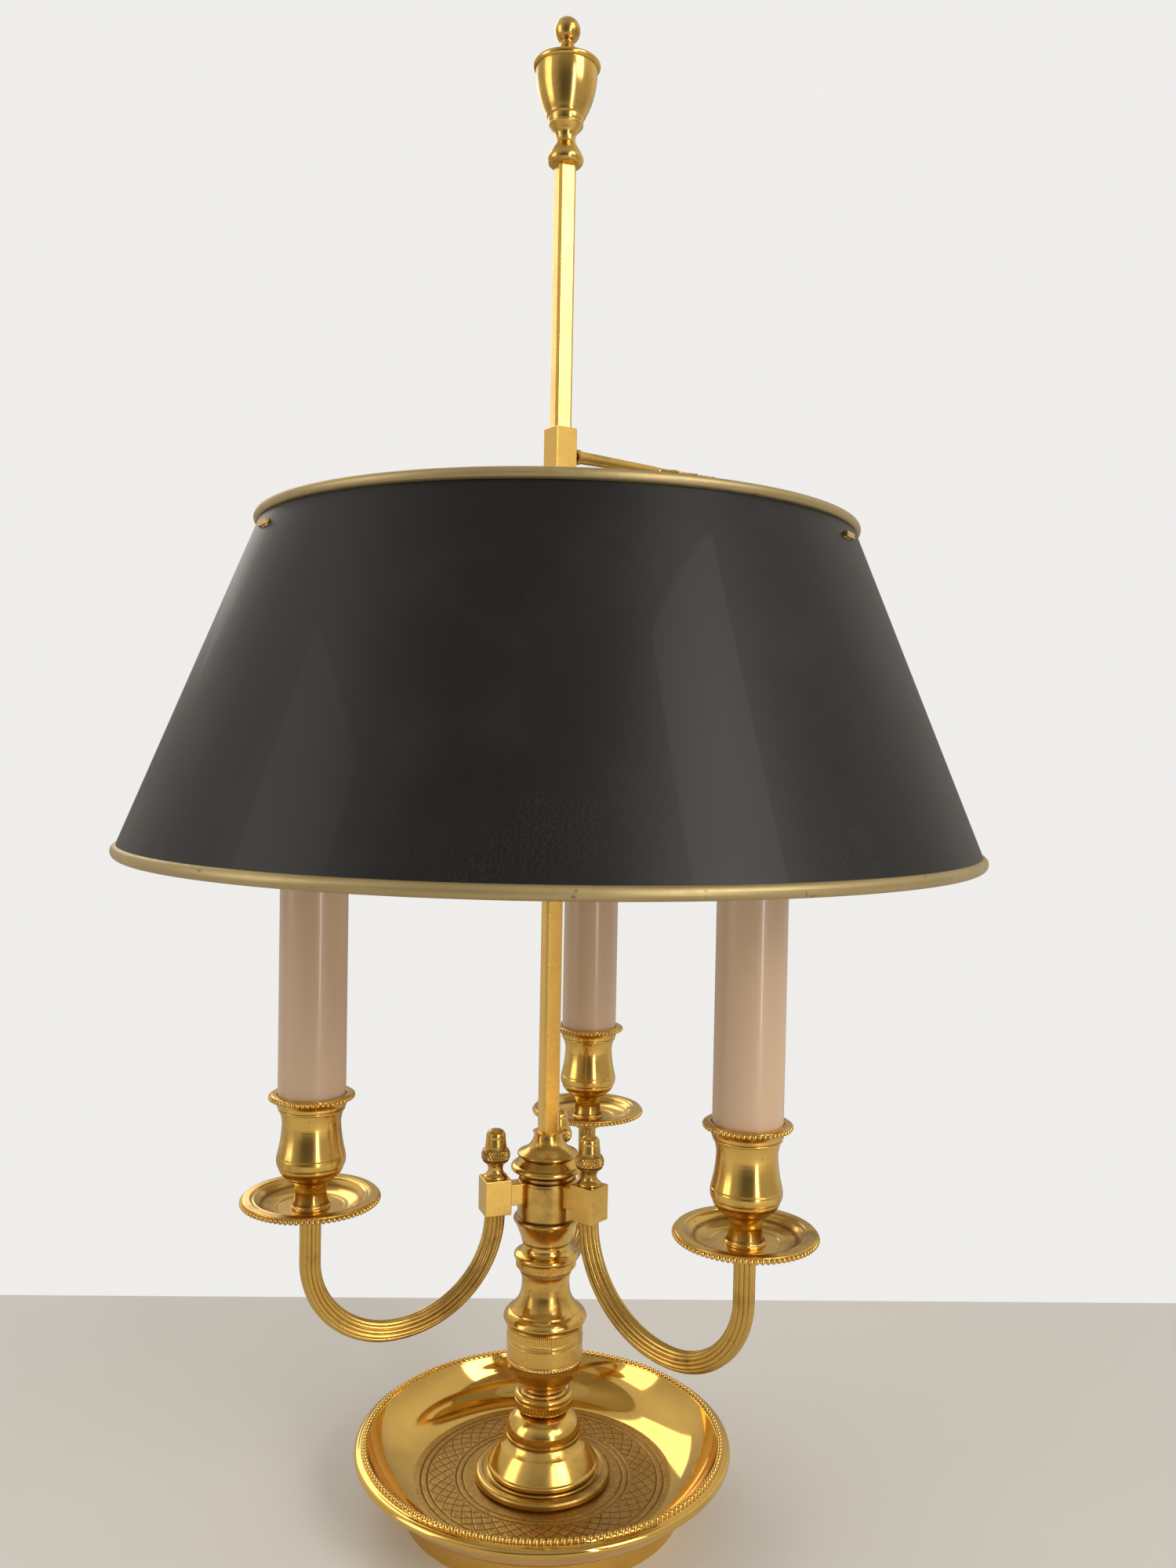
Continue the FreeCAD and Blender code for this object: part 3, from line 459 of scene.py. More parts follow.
def shade_finishes(look):
    """Black paint with fine cracks low on the sheet and cream inside it, and gold on its rims."""
    paint = Finish("black_paint", coat_weight=0.04, specular_ior_level=0.3)
    cone = UPPER_RING + (SHADE_HIGH - paint.z) * SHADE_SLOPE
    inside = (cone - paint.radius).smooth(0.0, 0.2)
    seam = paint.angle.near(math.radians(-166), 0.006)
    crack = paint.noise(560, cells="DISTANCE_TO_EDGE").smooth(0.0, 0.1)
    low = (360 - paint.z).smooth(0, 60)
    where = paint.noise(11, 3).smooth(0.42, 0.62) * (0.2 + 0.8 * low) * look.craquelure
    crazed = (1 - crack) * where
    cloud = paint.noise(26, 5, 0.6)
    black = paint.mix(cloud.smooth(0.4, 0.8), (0.006, 0.006, 0.0065), (0.013, 0.012, 0.011))
    black = paint.mix(crazed * 0.4, black, (0.032, 0.029, 0.026))
    paint.set("Base Color", paint.mix(inside, black, (0.62, 0.58, 0.46)))
    paint.set("Roughness", 0.36 + cloud * 0.14 + crazed * 0.12 + inside * 0.2)
    waves = paint.noise(480, 3, 0.6) * 0.3 - crazed * 0.45 + seam * 4.0 + paint.noise(14, 2) * 1.5
    paint.bump(waves, 0.08)

    gold = Finish("gold_paint", metallic=0.75)
    scuff = gold.noise(120, 5, 0.7).smooth(0.62, 0.72)
    tone = gold.mix(gold.noise(30, 4), (0.36, 0.27, 0.12), (0.52, 0.41, 0.2))
    gold.set("Base Color", gold.mix(scuff * 0.8, tone, (0.05, 0.035, 0.02)))
    gold.set("Roughness", 0.34 + gold.noise(200, 3) * 0.2)
    gold.bump(gold.noise(700, 3) - scuff * 0.6, 0.04)


def candle_finishes(look):
    """Plastic of the sleeves and lampholders, glass, and the plainer materials out of sight."""
    sleeve = Finish("sleeve_plastic", coat_weight=0.35, coat_roughness=0.12, subsurface_weight=0.08)
    tint = sleeve.noise(24, 3, stretch=(1, 1, 0.3))
    sleeve.set("Base Color", sleeve.mix(tint, tuple(0.93 * c for c in look.sleeve), tuple(look.sleeve)))
    sleeve.set("Roughness", 0.26 + sleeve.noise(150, 3) * 0.1)
    sleeve.bump(sleeve.noise(45, 2, stretch=(1, 1, 0.25)), 0.08)

    plain = {"holder_plastic": ((0.82, 0.8, 0.72), (0.7, 0.67, 0.58), 0.45, 0.0, 300),
             "cap_metal": ((0.72, 0.72, 0.7), (0.5, 0.5, 0.48), 0.3, 1.0, 500),
             "steel": ((0.5, 0.5, 0.5), (0.3, 0.29, 0.27), 0.35, 1.0, 400),
             "cast_weight": ((0.05, 0.05, 0.05), (0.025, 0.022, 0.02), 0.7, 0.3, 500),
             "baize": ((0.03, 0.085, 0.045), (0.015, 0.05, 0.03), 0.95, 0.0, 1500),
             "key_dark": ((0.10, 0.075, 0.05), (0.03, 0.02, 0.015), 0.42, 0.9, 800)}
    for name, (first, second, rough, metallic, scale) in plain.items():
        stuff = Finish(name, metallic=metallic)
        speckle = stuff.noise(scale, 4, 0.65)
        stuff.set("Base Color", stuff.mix(speckle, first, second))
        stuff.set("Roughness", speckle * 0.12 + (rough - 0.06))
        stuff.bump(speckle, 0.06)
    glass = Finish("bulb_glass", transmission_weight=1.0, ior=1.2)
    glass.set("Roughness", glass.noise(80, 2).smooth(0.3, 0.9) * 0.05)
    glass.set("Base Color", glass.mix(glass.noise(40, 2), (0.97, 0.96, 0.93), (0.9, 0.9, 0.88)))


def make_finishes(look):
    """All materials, one for each slot of the record and a few for single pieces."""
    bright, dark = tuple(look.bright_brass), tuple(look.dark_brass)
    column_joints = (14.9, 28.1, 39.5, 48.7, 61.6, 78.0, 100.6, 113.3, 124.2, 140.8, 150.7)
    # The column's higher patina amount is partly painted dark reflection: darker brass in place of a dark
    # surrounding mirrored in it.
    brass("column_brass", bright, dark, 0.17, 0.65, column_joints)
    brass("aged_brass", tuple(0.72 * c for c in bright), dark, 0.24, 0.8, (10.8,))
    brass("shaft_brass", tuple(min(1.0, 1.14 * c) for c in bright), dark, 0.27, 0.22)
    brass("lug_brass", tuple(1.05 * c for c in bright), dark, 0.24, 0.35, mottle=0.5)
    brass("arm_brass", tuple(0.8 * c for c in bright), dark, 0.27, 0.7)
    dish_finish(look, bright, dark)
    shade_finishes(look)
    candle_finishes(look)


# Pieces

def make_base(look):
    """Dish with its engraved floor, turned, and the beads round its top."""
    wall = (67.0, 16.5, 56.0, FLOOR_Z)
    engraved = [point for ring in reversed(ENGRAVED)
                for point in ((ring + 0.5, FLOOR_Z), (ring, FLOOR_Z - 0.45), (ring - 0.5, FLOOR_Z))]
    lathe("Dish", "base_dish", profile(
        (5.15, 8.0), (56.3, 8.0), (56.3, 0.0), (60.5, 0.0), (60.5, 9.2), (69.4, 14.0, 77.0, 22.2),
        (79.9, 23.3, 81.0, 25.5), (80.5, 26.7, 79.2, 27.3), (78.3, 27.7), (75.4, 27.7), wall,
        *engraved, (5.15, FLOOR_Z), fine=22), turns=256, soft=0.3)
    lathe("Bead_seat", "base_bead_ring", profile(
        (75.5, 27.6), (77.7, 27.6), (76.6, 28.5, 75.5, 27.6)), turns=256)
    beads("Dish_beads", "base_bead_ring", look.dish_beads, 76.6, 28.25, 1.27)


def make_column(look):
    """Turned pieces of the column from the dish up to the shaft, then the lugs of the hub."""
    lathe("Foot_ring", "foot_ring", profile(
        (5.2, 10.5), (28.8, 10.5), (29.4, 12.2, 27.2, 14.1), (26.2, 14.2), (25.9, 13.9), (24.4, 13.9),
        (24.2, 14.3), (22.7, 14.9), (5.2, 14.9)))
    lathe("Bell_foot", "bell_foot", profile(
        (5.2, 14.9), (22.7, 14.9), (23.9, 15.5, 23.5, 17.1), (23.0, 17.5), (21.2, 20.5, 18.3, 24.7),
        (16.6, 26.5, 15.4, 28.1), (5.2, 28.1), fine=14))
    lathe("Foot_dome", "foot_dome", profile(
        (5.2, 28.1), (15.9, 28.1), (15.9, 29.4), (15.5, 29.6), (15.5, 30.0), (15.9, 30.2), (15.9, 32.3),
        (13.9, 36.7, 8.8, 39.5), (5.2, 39.5), fine=14))
    lathe("Fluted_knop", "knurled_knop", profile(
        (5.2, 39.5), (9.4, 39.5), (9.6, 40.4), (12.0, 41.2, 12.6, 43.2), (12.6, 44.8), (12.1, 45.0),
        (12.4, 45.3, 9.6, 47.6), (8.8, 48.7), (5.2, 48.7)),
        turns=432, ripple=flutes(54, 0.42, 41.4, 44.6, slant=0.55))
    lathe("Vase_bowl", "vase_bowl", profile(
        (5.2, 48.7), (8.8, 48.7), (9.3, 49.5), (9.3, 49.9), (9.0, 50.1),
        (13.8, 55.1, 15.9, 61.3), (5.2, 61.3), fine=16))
    band_lines = flutes(118, 0.3, 72.7, 77.2)
    teeth = flutes(72, 0.5, 61.5, 63.3)
    lathe("Knurled_band", "knurled_band", profile(
        (5.2, 61.3), (16.1, 61.3), (16.6, 62.3, 16.1, 63.4), (16.0, 63.8), (16.4, 64.0), (16.45, 70.6),
        (16.1, 70.9), (16.1, 71.4), (16.5, 71.7), (16.5, 72.4), (16.3, 72.6), (16.3, 77.4), (15.95, 78.3),
        (5.2, 78.3)), turns=590, step=0.7, ripple=lambda a, z: band_lines(a, z) + teeth(a, z))
    lathe("Vase_neck", "vase_neck", profile(
        (5.2, 78.3), (15.95, 78.3), (17.5, 79.0, 18.0, 80.5), (17.1, 82.2, 15.1, 83.7), (14.9, 84.2),
        (12.0, 87.7, 10.4, 93.3), (10.4, 97.3, 11.1, 100.1), (5.2, 100.1), fine=16))
    lathe("Neck_ring", "neck_ring", profile(
        (5.2, 100.1), (11.3, 100.1), (11.3, 101.3), (12.3, 101.9), (12.3, 102.3), (13.0, 102.6),
        (13.0, 105.4), (12.6, 105.6), (13.65, 106.2, 12.6, 108.4), (11.1, 109.3, 10.6, 113.3),
        (5.2, 113.3)),
        turns=552, step=0.7, ripple=flutes(92, 0.28, 102.6, 105.4))
    lathe("Hub", "arm_hub", profile(
        (5.2, 113.3), (10.6, 113.3), (11.6, 116.9, 13.9, 121.9), (14.4, 123.0, 13.4, 124.3), (12.8, 124.5),
        (12.8, 139.3), (12.4, 139.5), (12.4, 140.5), (5.2, 140.5)), turns=160)
    lathe("Hub_collar", "hub_collar", profile(
        (5.2, 140.5), (11.4, 140.5), (11.4, 142.1), (12.6, 143.5, 15.5, 144.5), (15.8, 145.5, 15.2, 146.5),
        (14.2, 146.9), (13.9, 147.3), (13.0, 148.5, 11.4, 150.5), (5.2, 150.5)))
    lathe("Socket", "shaft_socket", profile(
        (3.2, 150.5), (12.2, 150.5), (13.1, 151.0, 12.6, 151.8), (7.5, 155.5, 5.9, 159.9), (6.6, 160.2),
        (6.6, 160.7), (5.5, 160.9), (3.2, 160.9)))
    neck = [(11.0, -3.5), (19.0, -3.5), (19.0, 3.5), (11.0, 3.5)]
    for n in ARMS:
        azimuth = arm_azimuth(n)
        prism(f"Lug_{n}", "arm_hub", square(11.5), 127.85, 142.75, azimuth, 0.35,
              "lug_brass", replace=False, shift=PIVOT)
        prism(f"Lug_neck_{n}", "arm_hub", neck, 130.8, 139.8, azimuth, 0.3,
              "lug_brass", replace=False)


def make_shaft(look):
    """Square shaft, turned finial, and the slider with its tail and key."""
    prism("Square_shaft", "shaft", square(7.7, 1.1), 160.9, 571.5, SHAFT_TURN, 0.15)
    lathe("Finial", "finial", profile(
        (0, 571.5), (5.9, 571.5), (7.7, 573.9, 7.5, 575.3), (6.1, 578.1, 4.7, 580.3),
        (4.1, 583.1, 5.3, 585.9), (7.0, 587.7), (7.4, 588.4), (7.2, 589.0),
        (7.4, 589.7, 7.6, 591.5), (8.2, 592.0), (8.4, 592.6),
        (8.9, 593.5), (11.9, 601.5, 13.0, 611.7), (14.3, 613.1, 13.0, 614.5), (12.2, 614.8),
        (7.1, 616.4, 2.7, 623.1), (5.45, 628.0, 0, 633.5), fine=16))
    prism("Slider", "slider_block", square(10.3), 421.5, 461.5, SLIDER_TURN, 0.4, "shaft_brass")
    lathe("Slider_tail", "slider_block", profile(
        (4.8, 397.5), (6.6, 397.5), (6.6, 409.4), (7.6, 409.4), (7.6, 421.6), (4.8, 421.6)),
        replace=False)
    make_key()


def make_key():
    """Arrow key along X: the half width w and half thickness t change along x, and a point goes to
    (x, w cos a, t sin a); w has one notch for each barb of the feather blade. The screw is a turned
    profile along X whose radius rises and falls with each turn of the thread."""
    steps, around, barbs = 300, 40, 6
    blade_start, blade_half_width = 50, 7.2
    x = np.linspace(7.6, KEY_END, steps)[:, None]
    angle = np.arange(around)[None, :] * math.tau / around
    shank = 2.65 - 0.7 * np.clip((x - 8) / 40, 0, 1) + 0.5 * (np.abs(x - 9.0) < 1.0)
    share = np.clip((x - blade_start) / (KEY_END - blade_start), 0, 1)
    notch = (share * barbs) % 1.0
    ends = np.clip(share / 0.14, 0, 1) * np.clip((1 - share) / 0.06, 0.35, 1)
    width = np.maximum(shank, blade_half_width * ends * (0.72 + 0.28 * notch))
    vanes = 0.16 * np.abs(np.sin(26 * share * math.pi + 3 * np.abs(np.cos(angle))))
    spine = 0.35 * np.exp(-(np.cos(angle) * width) ** 2)
    thick = np.where(share > 0.02, 1.55, shank) - vanes * (share > 0.1) + spine
    thick = np.minimum(thick, shank + 0.1)
    height = KEY_Z + thick * np.sin(angle) * (1 - 0.3 * np.abs(np.cos(angle)) * (share > 0.05))
    points = np.stack([x + 0 * angle, width * np.cos(angle), height], -1).reshape(-1, 3)
    points, faces = capped(points, steps, around)
    add_object("Arrow_key", placed(points, 0, SLIDER_TURN), faces, "arrow_key", smooth=55)
    turns = np.linspace(5.2, 7.9, 54)
    thread = 1.95 + 0.22 * np.abs(np.sin(turns * math.pi / 0.7))
    rows = np.stack([np.r_[0, thread, 0], np.r_[turns[0], turns, turns[-1]]], 1)
    ring = np.arange(32)[None, :] * math.tau / 32
    screw = np.stack([rows[:, 1:] + 0 * ring, rows[:, :1] * np.cos(ring),
                      KEY_Z + rows[:, :1] * np.sin(ring)], -1)
    points, faces = capped(screw.reshape(-1, 3), len(rows), 32)
    add_object("Key_screw", placed(points, 0, SLIDER_TURN), faces, "key_screw", "key_dark")


def make_shade(look):
    """Cone of sheet metal with two skins. A cell that lies in a slot is left out of both, and walls
    join the skins where a cell meets a missing one."""
    slots = np.radians([89.5, 209.5, 329.5])
    slot_low, slot_high, slot_width, slot_radius = 406.9, 409.9, 10.4, 124.0
    half = slot_width / 2 / slot_radius
    angle = np.unique(np.round(np.concatenate(
        [np.arange(360) * math.tau / 360, (slots - half) % math.tau, (slots + half) % math.tau]), 6))
    height = np.unique(np.round(np.concatenate(
        [np.linspace(SHADE_LOW, SHADE_HIGH, 40), [slot_low, slot_high]]), 4))
    radius = UPPER_RING + (SHADE_HIGH - height) * SHADE_SLOPE
    rows, columns = len(height), len(angle)
    skins = []
    for offset in (SHEET / 2, -SHEET / 2):
        r = (radius + offset)[:, None]
        skin = np.stack([r * np.cos(angle), r * np.sin(angle), height[:, None] + 0 * angle], -1)
        skins.append(skin.reshape(-1, 3))
    middle_angle = angle + np.diff(angle, append=angle[0] + math.tau) / 2
    middle_height = (height[1:] + height[:-1]) / 2
    away = np.abs((middle_angle[:, None] - slots[None, :] + math.pi) % math.tau - math.pi).min(1)
    hole = (away < half)[None, :] & ((middle_height > slot_low) & (middle_height < slot_high))[:, None]
    cells = grid_faces(rows, columns, False)
    solid = cells[~hole.reshape(-1)]
    shift = rows * columns
    row = np.arange(columns)
    following = (row + 1) % columns
    top = (rows - 1) * columns
    walls = [np.stack([row, row + shift, following + shift, following], 1),
             np.stack([top + row, top + following, top + following + shift, top + row + shift], 1)]
    grid = cells.reshape(rows - 1, columns, 4)
    starts = hole & ~np.roll(hole, 1, 1)
    ends = hole & ~np.roll(hole, -1, 1)
    lowest = hole & ~np.vstack([np.zeros((1, columns), bool), hole[:-1]])
    highest = hole & ~np.vstack([hole[1:], np.zeros((1, columns), bool)])
    for mask, (a, b) in ((starts, (3, 0)), (ends, (1, 2)), (lowest, (0, 1)), (highest, (2, 3))):
        first, second = grid[mask][:, a], grid[mask][:, b]
        walls.append(np.stack([first, second, second + shift, first + shift], 1))
    faces = np.vstack([solid, solid[:, ::-1] + shift, *walls])
    add_object("Shade", np.vstack(skins), faces.tolist(), "shade_shell", smooth=50)
    for name, node, ring, centre, tube in (
            ("Upper_rim", "shade_top_rim", UPPER_RING, 416.5, UPPER_TUBE),
            ("Lower_rim", "shade_bottom_rim", LOWER_RING, 283.7, LOWER_TUBE)):
        turn = np.linspace(0, math.tau, 25)[:-1]
        section = np.stack([ring + tube * np.cos(turn), centre + tube * np.sin(turn)], 1)
        lathe(name, node, section, turns=300, soft=0.1)


def make_arms(look):
    """Reeded arms: a section of radius 4.3 less the reed depth, plus the depth times a power of the
    size of the sine of six times the angle, is swept along the arm's two bends and upright end.
    Nuts, pans and cups are turned outlines."""
    lowest_x, lowest_z, around = 68.0, 83.0, 144
    inner_bend, outer_bend = lowest_x - PIVOT, CANDLE - lowest_x
    turn = np.linspace(math.pi, 1.5 * math.pi, 56)
    inner = np.stack([lowest_x + inner_bend * np.cos(turn),
                      lowest_z + inner_bend * (1 + np.sin(turn))], 1)
    turn = np.linspace(1.5 * math.pi, 2 * math.pi, 46)[1:]
    outer = np.stack([lowest_x + outer_bend * np.cos(turn),
                      lowest_z + outer_bend * (1 + np.sin(turn))], 1)
    upright = np.array([[CANDLE, 116.5], [CANDLE, 121], [CANDLE, 133.4 + LIFT]])
    path = np.vstack([[[PIVOT, 127.75]], inner[1:], outer, upright])
    path = np.vstack([path[:1], path, path[-1:]])
    ahead = np.gradient(path, axis=0)
    ahead[[0, -1]] = ahead[[1, -2]]
    ahead /= np.hypot(*ahead.T)[:, None]
    across = np.stack([-ahead[:, 1], ahead[:, 0]], 1)
    angle = np.arange(around)[None, :] * math.tau / around
    reed = look.reed_depth * (np.abs(np.sin(6 * angle)) ** 0.8 - 1) + 4.3
    x = path[:, :1] + across[:, :1] * reed * np.cos(angle)
    z = path[:, 1:] + across[:, 1:] * reed * np.cos(angle)
    points = np.stack([x, -reed * np.sin(angle) + 0 * x, z], -1).reshape(-1, 3)
    points, faces = capped(points, len(path), around)
    for n in ARMS:
        azimuth = arm_azimuth(n)
        place = {"azimuth": azimuth, "shift": CANDLE, "lift": LIFT}
        add_object(f"Arm_{n}", placed(points, 0, azimuth), faces, f"arm_tube_{n}",
                   "arm_brass", smooth=60)
        lathe(f"Acorn_nut_{n}", f"acorn_nut_{n}", profile(
            (0, 142.8), (5.0, 142.8), (5.1, 143.3, 4.9, 143.8), (4.0, 144.6, 3.2, 146.0),
            (3.3, 147.6, 4.4, 149.2), (4.7, 149.4), (5.6, 150.2), (6.15, 151.6), (6.15, 153.4),
            (5.5, 154.8), (4.7, 155.5), (4.5, 155.7), (4.5, 156.6), (4.1, 160.0), (3.5, 162.4, 0, 163.2)),
            ripple=flutes(26, 0.5, 149.6, 155.2, slant=0.95, crossed=True), turns=240, step=0.3,
            shift=PIVOT, azimuth=azimuth)
        lathe(f"Pan_{n}", f"drip_pan_{n}", profile(
            (4.4, 133.3), (5.8, 133.3), (6.4, 134.0), (6.4, 135.2), (7.4, 136.6), (7.6, 137.5),
            (13.5, 137.5), (18.5, 138.4, 21.4, 141.2), (24.2, 142.0), (26.6, 142.0), (27.2, 142.6),
            (27.3, 143.2), (26.9, 143.5), (23.9, 143.5), (23.5, 143.0), (23.0, 142.9), (22.4, 143.1),
            (21.6, 142.6), (18.1, 139.9, 13.6, 139.0), (13.3, 138.7), (4.4, 138.6), fine=10),
            turns=160, **place)
        beads(f"Pan_beads_{n}", f"drip_pan_{n}", look.pan_beads, 27.1, 141.9, 1.05, **place)
        lathe(f"Cup_{n}", f"candle_cup_{n}", profile(
            (5.2, 138.65), (7.9, 138.65), (7.9, 139.5), (7.3, 139.9), (6.7, 142.0, 6.2, 145.2),
            (7.1, 148.4, 9.7, 150.9), (9.9, 151.4), (12.4, 153.6, 13.0, 155.5), (13.0, 155.7),
            (12.8, 155.9), (13.5, 156.2), (13.85, 158.2, 13.7, 159.9), (13.35, 160.2), (13.6, 160.5),
            (12.4, 166.2, 11.8, 171.6), (12.0, 175.6, 12.9, 178.4), (13.3, 178.6), (13.3, 179.2),
            (13.0, 179.4), (14.0, 181.4, 15.7, 183.6), (16.4, 183.9), (16.5, 184.8), (15.9, 185.2),
            (13.9, 185.2), (13.7, 184.6), (13.7, 179.8), (10.2, 179.8), (10.2, 157.6), (5.2, 153.6),
            fine=10), turns=160, **place)
        beads(f"Cup_beads_{n}", f"candle_cup_{n}", look.cup_beads, 16.35, 183.9, 0.98, **place)


def make_candles(look):
    """Sleeves, turned with an eased upper edge."""
    for n in ARMS:
        lathe(f"Sleeve_{n}", f"candle_sleeve_{n}", profile(
            (12.45, 179.8), (13.55, 179.8), (13.55, SLEEVE_TOP - 0.4), (13.15, SLEEVE_TOP),
            (12.75, SLEEVE_TOP), (12.45, SLEEVE_TOP - 0.3)),
            shift=CANDLE, azimuth=arm_azimuth(n), lift=LIFT, turns=128)


def make_rest(look):
    """Gives every CAD node the material of its slot."""
    for name, node in frame["nodes"].items():
        node.data.materials.clear()
        node.data.materials.append(finishes[SLOT_OF[name]])


def make_stage(look):
    """Pale table, soft lights, a glow from all sides and the camera at the photo's place."""
    scene = bpy.context.scene
    make_table(scene)
    make_lights(scene, look)
    make_world(scene)
    scene.view_settings.view_transform = "Standard"
    make_camera(scene)


def make_table(scene):
    """Slab whose top is at height 0 and whose back edge lies behind the lamp, in metres."""
    mesh = bpy.data.meshes.new("Table")
    corners = np.array([(-0.9, -1.0), (0.9, -1.0), (0.9, 0.2), (-0.9, 0.2)])
    points = np.vstack([np.c_[corners, np.full(4, -0.03)], np.c_[corners, np.zeros(4)]])
    sides = [(j, (j + 1) % 4, 4 + (j + 1) % 4, 4 + j) for j in range(4)]
    mesh.from_pydata(points.tolist(), [], sides + [(3, 2, 1, 0), (4, 5, 6, 7)])
    table = bpy.data.objects.new("Table", mesh)
    scene.collection.objects.link(table)
    top = Finish("table_paint")
    top.set("Base Color", top.mix(top.noise(3, 2), (0.66, 0.65, 0.63), (0.70, 0.69, 0.67)))
    top.set("Roughness", 0.55 + top.noise(40, 2) * 0.1)
    mesh.materials.append(top.material)


def make_lights(scene, look):
    """Area lights with their place, width, height and power, turned to the middle of the lamp."""
    middle = np.array([0, 0, 0.3])
    lights = (("Key", (1.5, -1.3, 1.5), 0.9, 1.3, 18), ("Fill", (-1.9, -0.6, 0.8), 0.9, 1.6, 9),
              ("Back", (-0.9, 1.6, 1.4), 1.0, 1.4, 8), ("Strip", (0.62, -1.15, 0.45), 0.05, 1.1, 5))
    for name, place, width, height, power in lights:
        light = bpy.data.lights.new(name, "AREA")
        light.shape = "RECTANGLE"
        light.size = width
        light.size_y = height
        light.energy = power * look.light
        light.color = (1.0, 0.96, 0.9)
        lamp = bpy.data.objects.new(name, light)
        scene.collection.objects.link(lamp)
        lamp.location = place
        away = np.array(place) - middle
        tilt = math.atan2(math.hypot(*away[:2]), away[2])
        lamp.rotation_euler = (tilt, 0, math.atan2(away[1], away[0]) + math.pi / 2)


def make_world(scene):
    """Glow that grows upwards, to both sides and to the back, behind a plain pale background."""
    world = bpy.data.worlds.new("Studio")
    scene.world = world
    world.use_nodes = True
    tree = world.node_tree
    surface = tree.nodes["Background"]
    surface.inputs["Color"].default_value = (0.72, 0.67, 0.6, 1)
    direction = tree.nodes.new("ShaderNodeTexCoord")
    split = tree.nodes.new("ShaderNodeSeparateXYZ")
    tree.links.new(direction.outputs["Generated"], split.inputs[0])
    side, back, up = (Field(tree, output) for output in split.outputs)
    glow = 0.14 + up.smooth(0.0, 0.9) * 0.5 + abs(side).smooth(0.25, 0.9) * 0.5
    glow = glow + back.smooth(0.0, 0.8) * 0.35
    tree.links.new(glow.socket, surface.inputs["Strength"])
    pale = tree.nodes.new("ShaderNodeBackground")
    pale.inputs["Color"].default_value = (0.86, 0.85, 0.83, 1)
    path = tree.nodes.new("ShaderNodeLightPath")
    mix = tree.nodes.new("ShaderNodeMixShader")
    tree.links.new(path.outputs["Is Camera Ray"], mix.inputs[0])
    tree.links.new(surface.outputs[0], mix.inputs[1])
    tree.links.new(pale.outputs[0], mix.inputs[2])
    tree.links.new(mix.outputs[0], tree.nodes["World Output"].inputs["Surface"])


def make_camera(scene):
    """Camera found from the photo's ellipses: place in metres, turns in degrees, and focal length
    in pixels of the photo's height."""
    place = (0, -0.5481, 0.3262)
    yaw, pitch, roll = (math.radians(turn) for turn in (1.507, 1.62, 1.05))
    focal_length, photo_height = 1631.7, 2000
    ahead = np.array([math.sin(yaw) * math.cos(pitch), math.cos(yaw) * math.cos(pitch),
                      -math.sin(pitch)])
    right = np.array([math.cos(yaw), -math.sin(yaw), 0.0])
    up = np.cross(right, ahead)
    rolled = right * math.cos(roll) + up * math.sin(roll)
    upright = up * math.cos(roll) - right * math.sin(roll)
    lens = bpy.data.cameras.new("Camera")
    lens.sensor_fit = "VERTICAL"
    lens.sensor_height = 36
    lens.lens = lens.sensor_height * focal_length / photo_height
    lens.clip_start = 0.01
    camera = bpy.data.objects.new("Camera", lens)
    scene.collection.objects.link(camera)
    matrix = np.eye(4)
    matrix[:3, :3] = np.stack([rolled, upright, -ahead], 1)
    matrix[:3, 3] = place
    camera.matrix_world = Matrix(matrix)
    scene.camera = camera


# Add-on

class LampLook(bpy.types.PropertyGroup):
    """Sizes and colours that can be changed."""
    bright_brass: FloatVectorProperty(
        name="Bright brass", description="Colour of polished brass", subtype="COLOR",
        default=(0.78, 0.50, 0.13), min=0, max=1)
    # The patina colour is partly painted dark reflection: it is darker than the patina alone would be.
    dark_brass: FloatVectorProperty(
        name="Patina", description="Colour of the patina on the brass", subtype="COLOR",
        default=(0.22, 0.115, 0.03), min=0, max=1)
    sleeve: FloatVectorProperty(
        name="Sleeve", description="Colour of the candle sleeves", subtype="COLOR",
        default=(0.66, 0.44, 0.29), min=0, max=1)
    dish_beads: IntProperty(
        name="Dish beads", description="Beads round the dish", default=185, min=3)
    pan_beads: IntProperty(
        name="Pan beads", description="Beads round each drip pan", default=82, min=3)
    cup_beads: IntProperty(
        name="Cup beads", description="Beads round each cup", default=52, min=3)
    lattice_count: IntProperty(
        name="Lattice", description="Diamonds round the dish floor", default=44, min=3)
    reed_depth: FloatProperty(
        name="Reed depth", description="Depth of the arms' reeds in mm", default=0.6, min=0)
    craquelure: FloatProperty(
        name="Craquelure", description="Strength of the paint's fine cracks",
        default=1.0, min=0, max=1, subtype="FACTOR")
    light: FloatProperty(
        name="Light", description="Factor on all lights", default=1.0, min=0, subtype="FACTOR")


def check(expected):
    """Stops the script if an object that a step should have built is missing."""
    missing = [name for name in expected if name not in bpy.data.objects]
    if missing:
        raise RuntimeError("not built: " + ", ".join(missing))


class LAMP_OT_finishes(bpy.types.Operator):
    """Makes all procedural materials"""
    bl_idname = "lamp.finishes"
    bl_label = "Make finishes"

    def execute(self, context):
        make_finishes(context.scene.lamp_look)
        return {"FINISHED"}


class LAMP_OT_rest(bpy.types.Operator):
    """Gives each CAD node its material"""
    bl_idname = "lamp.rest"
    bl_label = "Paint frame"

    def execute(self, context):
        make_rest(context.scene.lamp_look)
        check(["shaft"])
        return {"FINISHED"}


class LAMP_OT_base(bpy.types.Operator):
    """Builds the dish and its beads"""
    bl_idname = "lamp.base"
    bl_label = "Build base"

    def execute(self, context):
        make_base(context.scene.lamp_look)
        check(["Dish", "Bead_seat", "Dish_beads"])
        return {"FINISHED"}


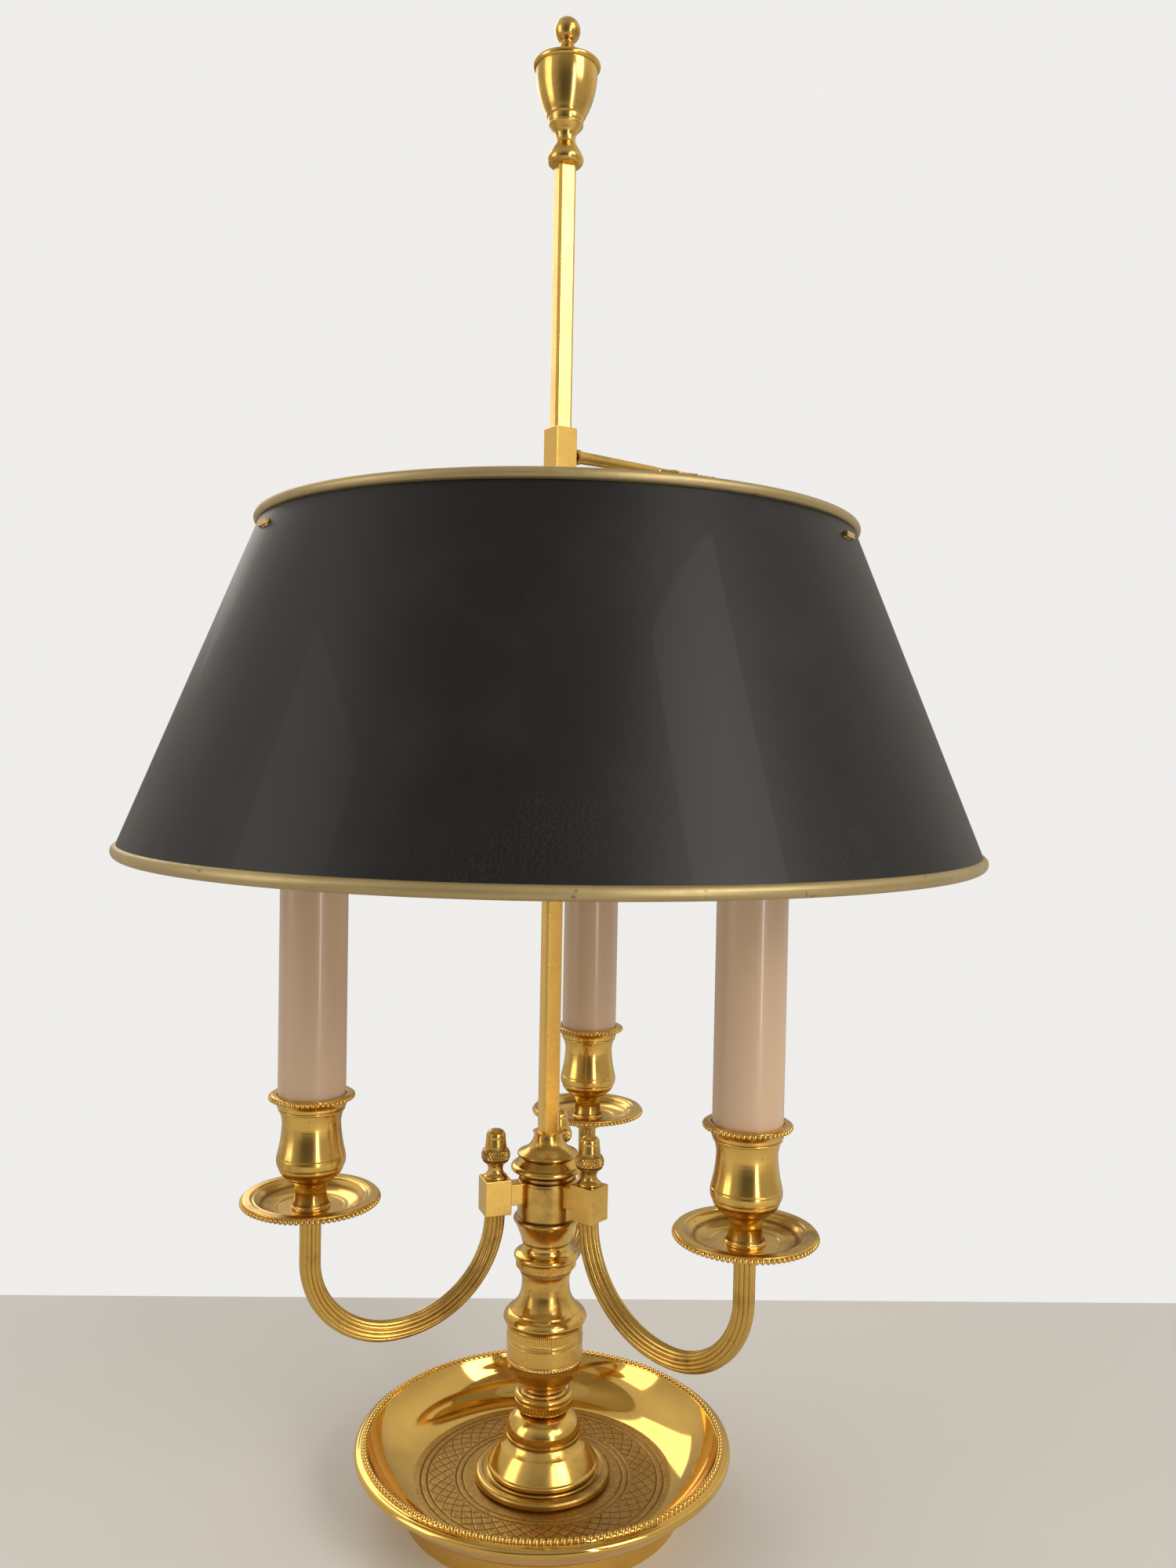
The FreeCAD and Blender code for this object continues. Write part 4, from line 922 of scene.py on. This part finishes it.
class LAMP_OT_column(bpy.types.Operator):
    """Builds the turned column and the hub"""
    bl_idname = "lamp.column"
    bl_label = "Build column"

    def execute(self, context):
        make_column(context.scene.lamp_look)
        check(["Vase_neck", "Hub", "Socket", "Lug_3"])
        return {"FINISHED"}


class LAMP_OT_shaft(bpy.types.Operator):
    """Builds the shaft, finial, slider and key"""
    bl_idname = "lamp.shaft"
    bl_label = "Build shaft"

    def execute(self, context):
        make_shaft(context.scene.lamp_look)
        check(["Square_shaft", "Finial", "Slider", "Arrow_key"])
        return {"FINISHED"}


class LAMP_OT_shade(bpy.types.Operator):
    """Builds the shade and its rims"""
    bl_idname = "lamp.shade"
    bl_label = "Build shade"

    def execute(self, context):
        make_shade(context.scene.lamp_look)
        check(["Shade", "Upper_rim", "Lower_rim"])
        return {"FINISHED"}


class LAMP_OT_arms(bpy.types.Operator):
    """Builds the arms, nuts, pans and cups"""
    bl_idname = "lamp.arms"
    bl_label = "Build arms"

    def execute(self, context):
        make_arms(context.scene.lamp_look)
        check(["Arm_3", "Acorn_nut_3", "Pan_beads_3", "Cup_beads_3"])
        return {"FINISHED"}


class LAMP_OT_candles(bpy.types.Operator):
    """Builds the candle sleeves"""
    bl_idname = "lamp.candles"
    bl_label = "Build candles"

    def execute(self, context):
        make_candles(context.scene.lamp_look)
        check(["Sleeve_1", "Sleeve_2", "Sleeve_3"])
        return {"FINISHED"}


class LAMP_OT_stage(bpy.types.Operator):
    """Builds the floor, lights and camera"""
    bl_idname = "lamp.stage"
    bl_label = "Build stage"

    def execute(self, context):
        make_stage(context.scene.lamp_look)
        check(["Table", "Key", "Camera"])
        return {"FINISHED"}


OPERATORS = (LAMP_OT_finishes, LAMP_OT_rest, LAMP_OT_base, LAMP_OT_column, LAMP_OT_shaft,
             LAMP_OT_shade, LAMP_OT_arms, LAMP_OT_candles, LAMP_OT_stage)


class LAMP_PT_panel(bpy.types.Panel):
    """Sidebar panel with the lamp's settings and steps."""
    bl_label = "Bouillotte Lamp"
    bl_idname = "LAMP_PT_panel"
    bl_space_type = "VIEW_3D"
    bl_region_type = "UI"
    bl_category = "Lamp"

    def draw(self, context):
        look = context.scene.lamp_look
        for key in LampLook.__annotations__:
            self.layout.prop(look, key)
        for step in OPERATORS:
            self.layout.operator(step.bl_idname)


CLASSES = (LampLook, *OPERATORS, LAMP_PT_panel)


def register():
    for item in CLASSES:
        bpy.utils.register_class(item)
    bpy.types.Scene.lamp_look = PointerProperty(type=LampLook)


def unregister():
    del bpy.types.Scene.lamp_look
    for item in reversed(CLASSES):
        bpy.utils.unregister_class(item)


def main():
    register()
    for step in OPERATORS:
        group, name = step.bl_idname.split(".")
        getattr(getattr(bpy.ops, group), name)()


if __name__ == "__main__":
    main()
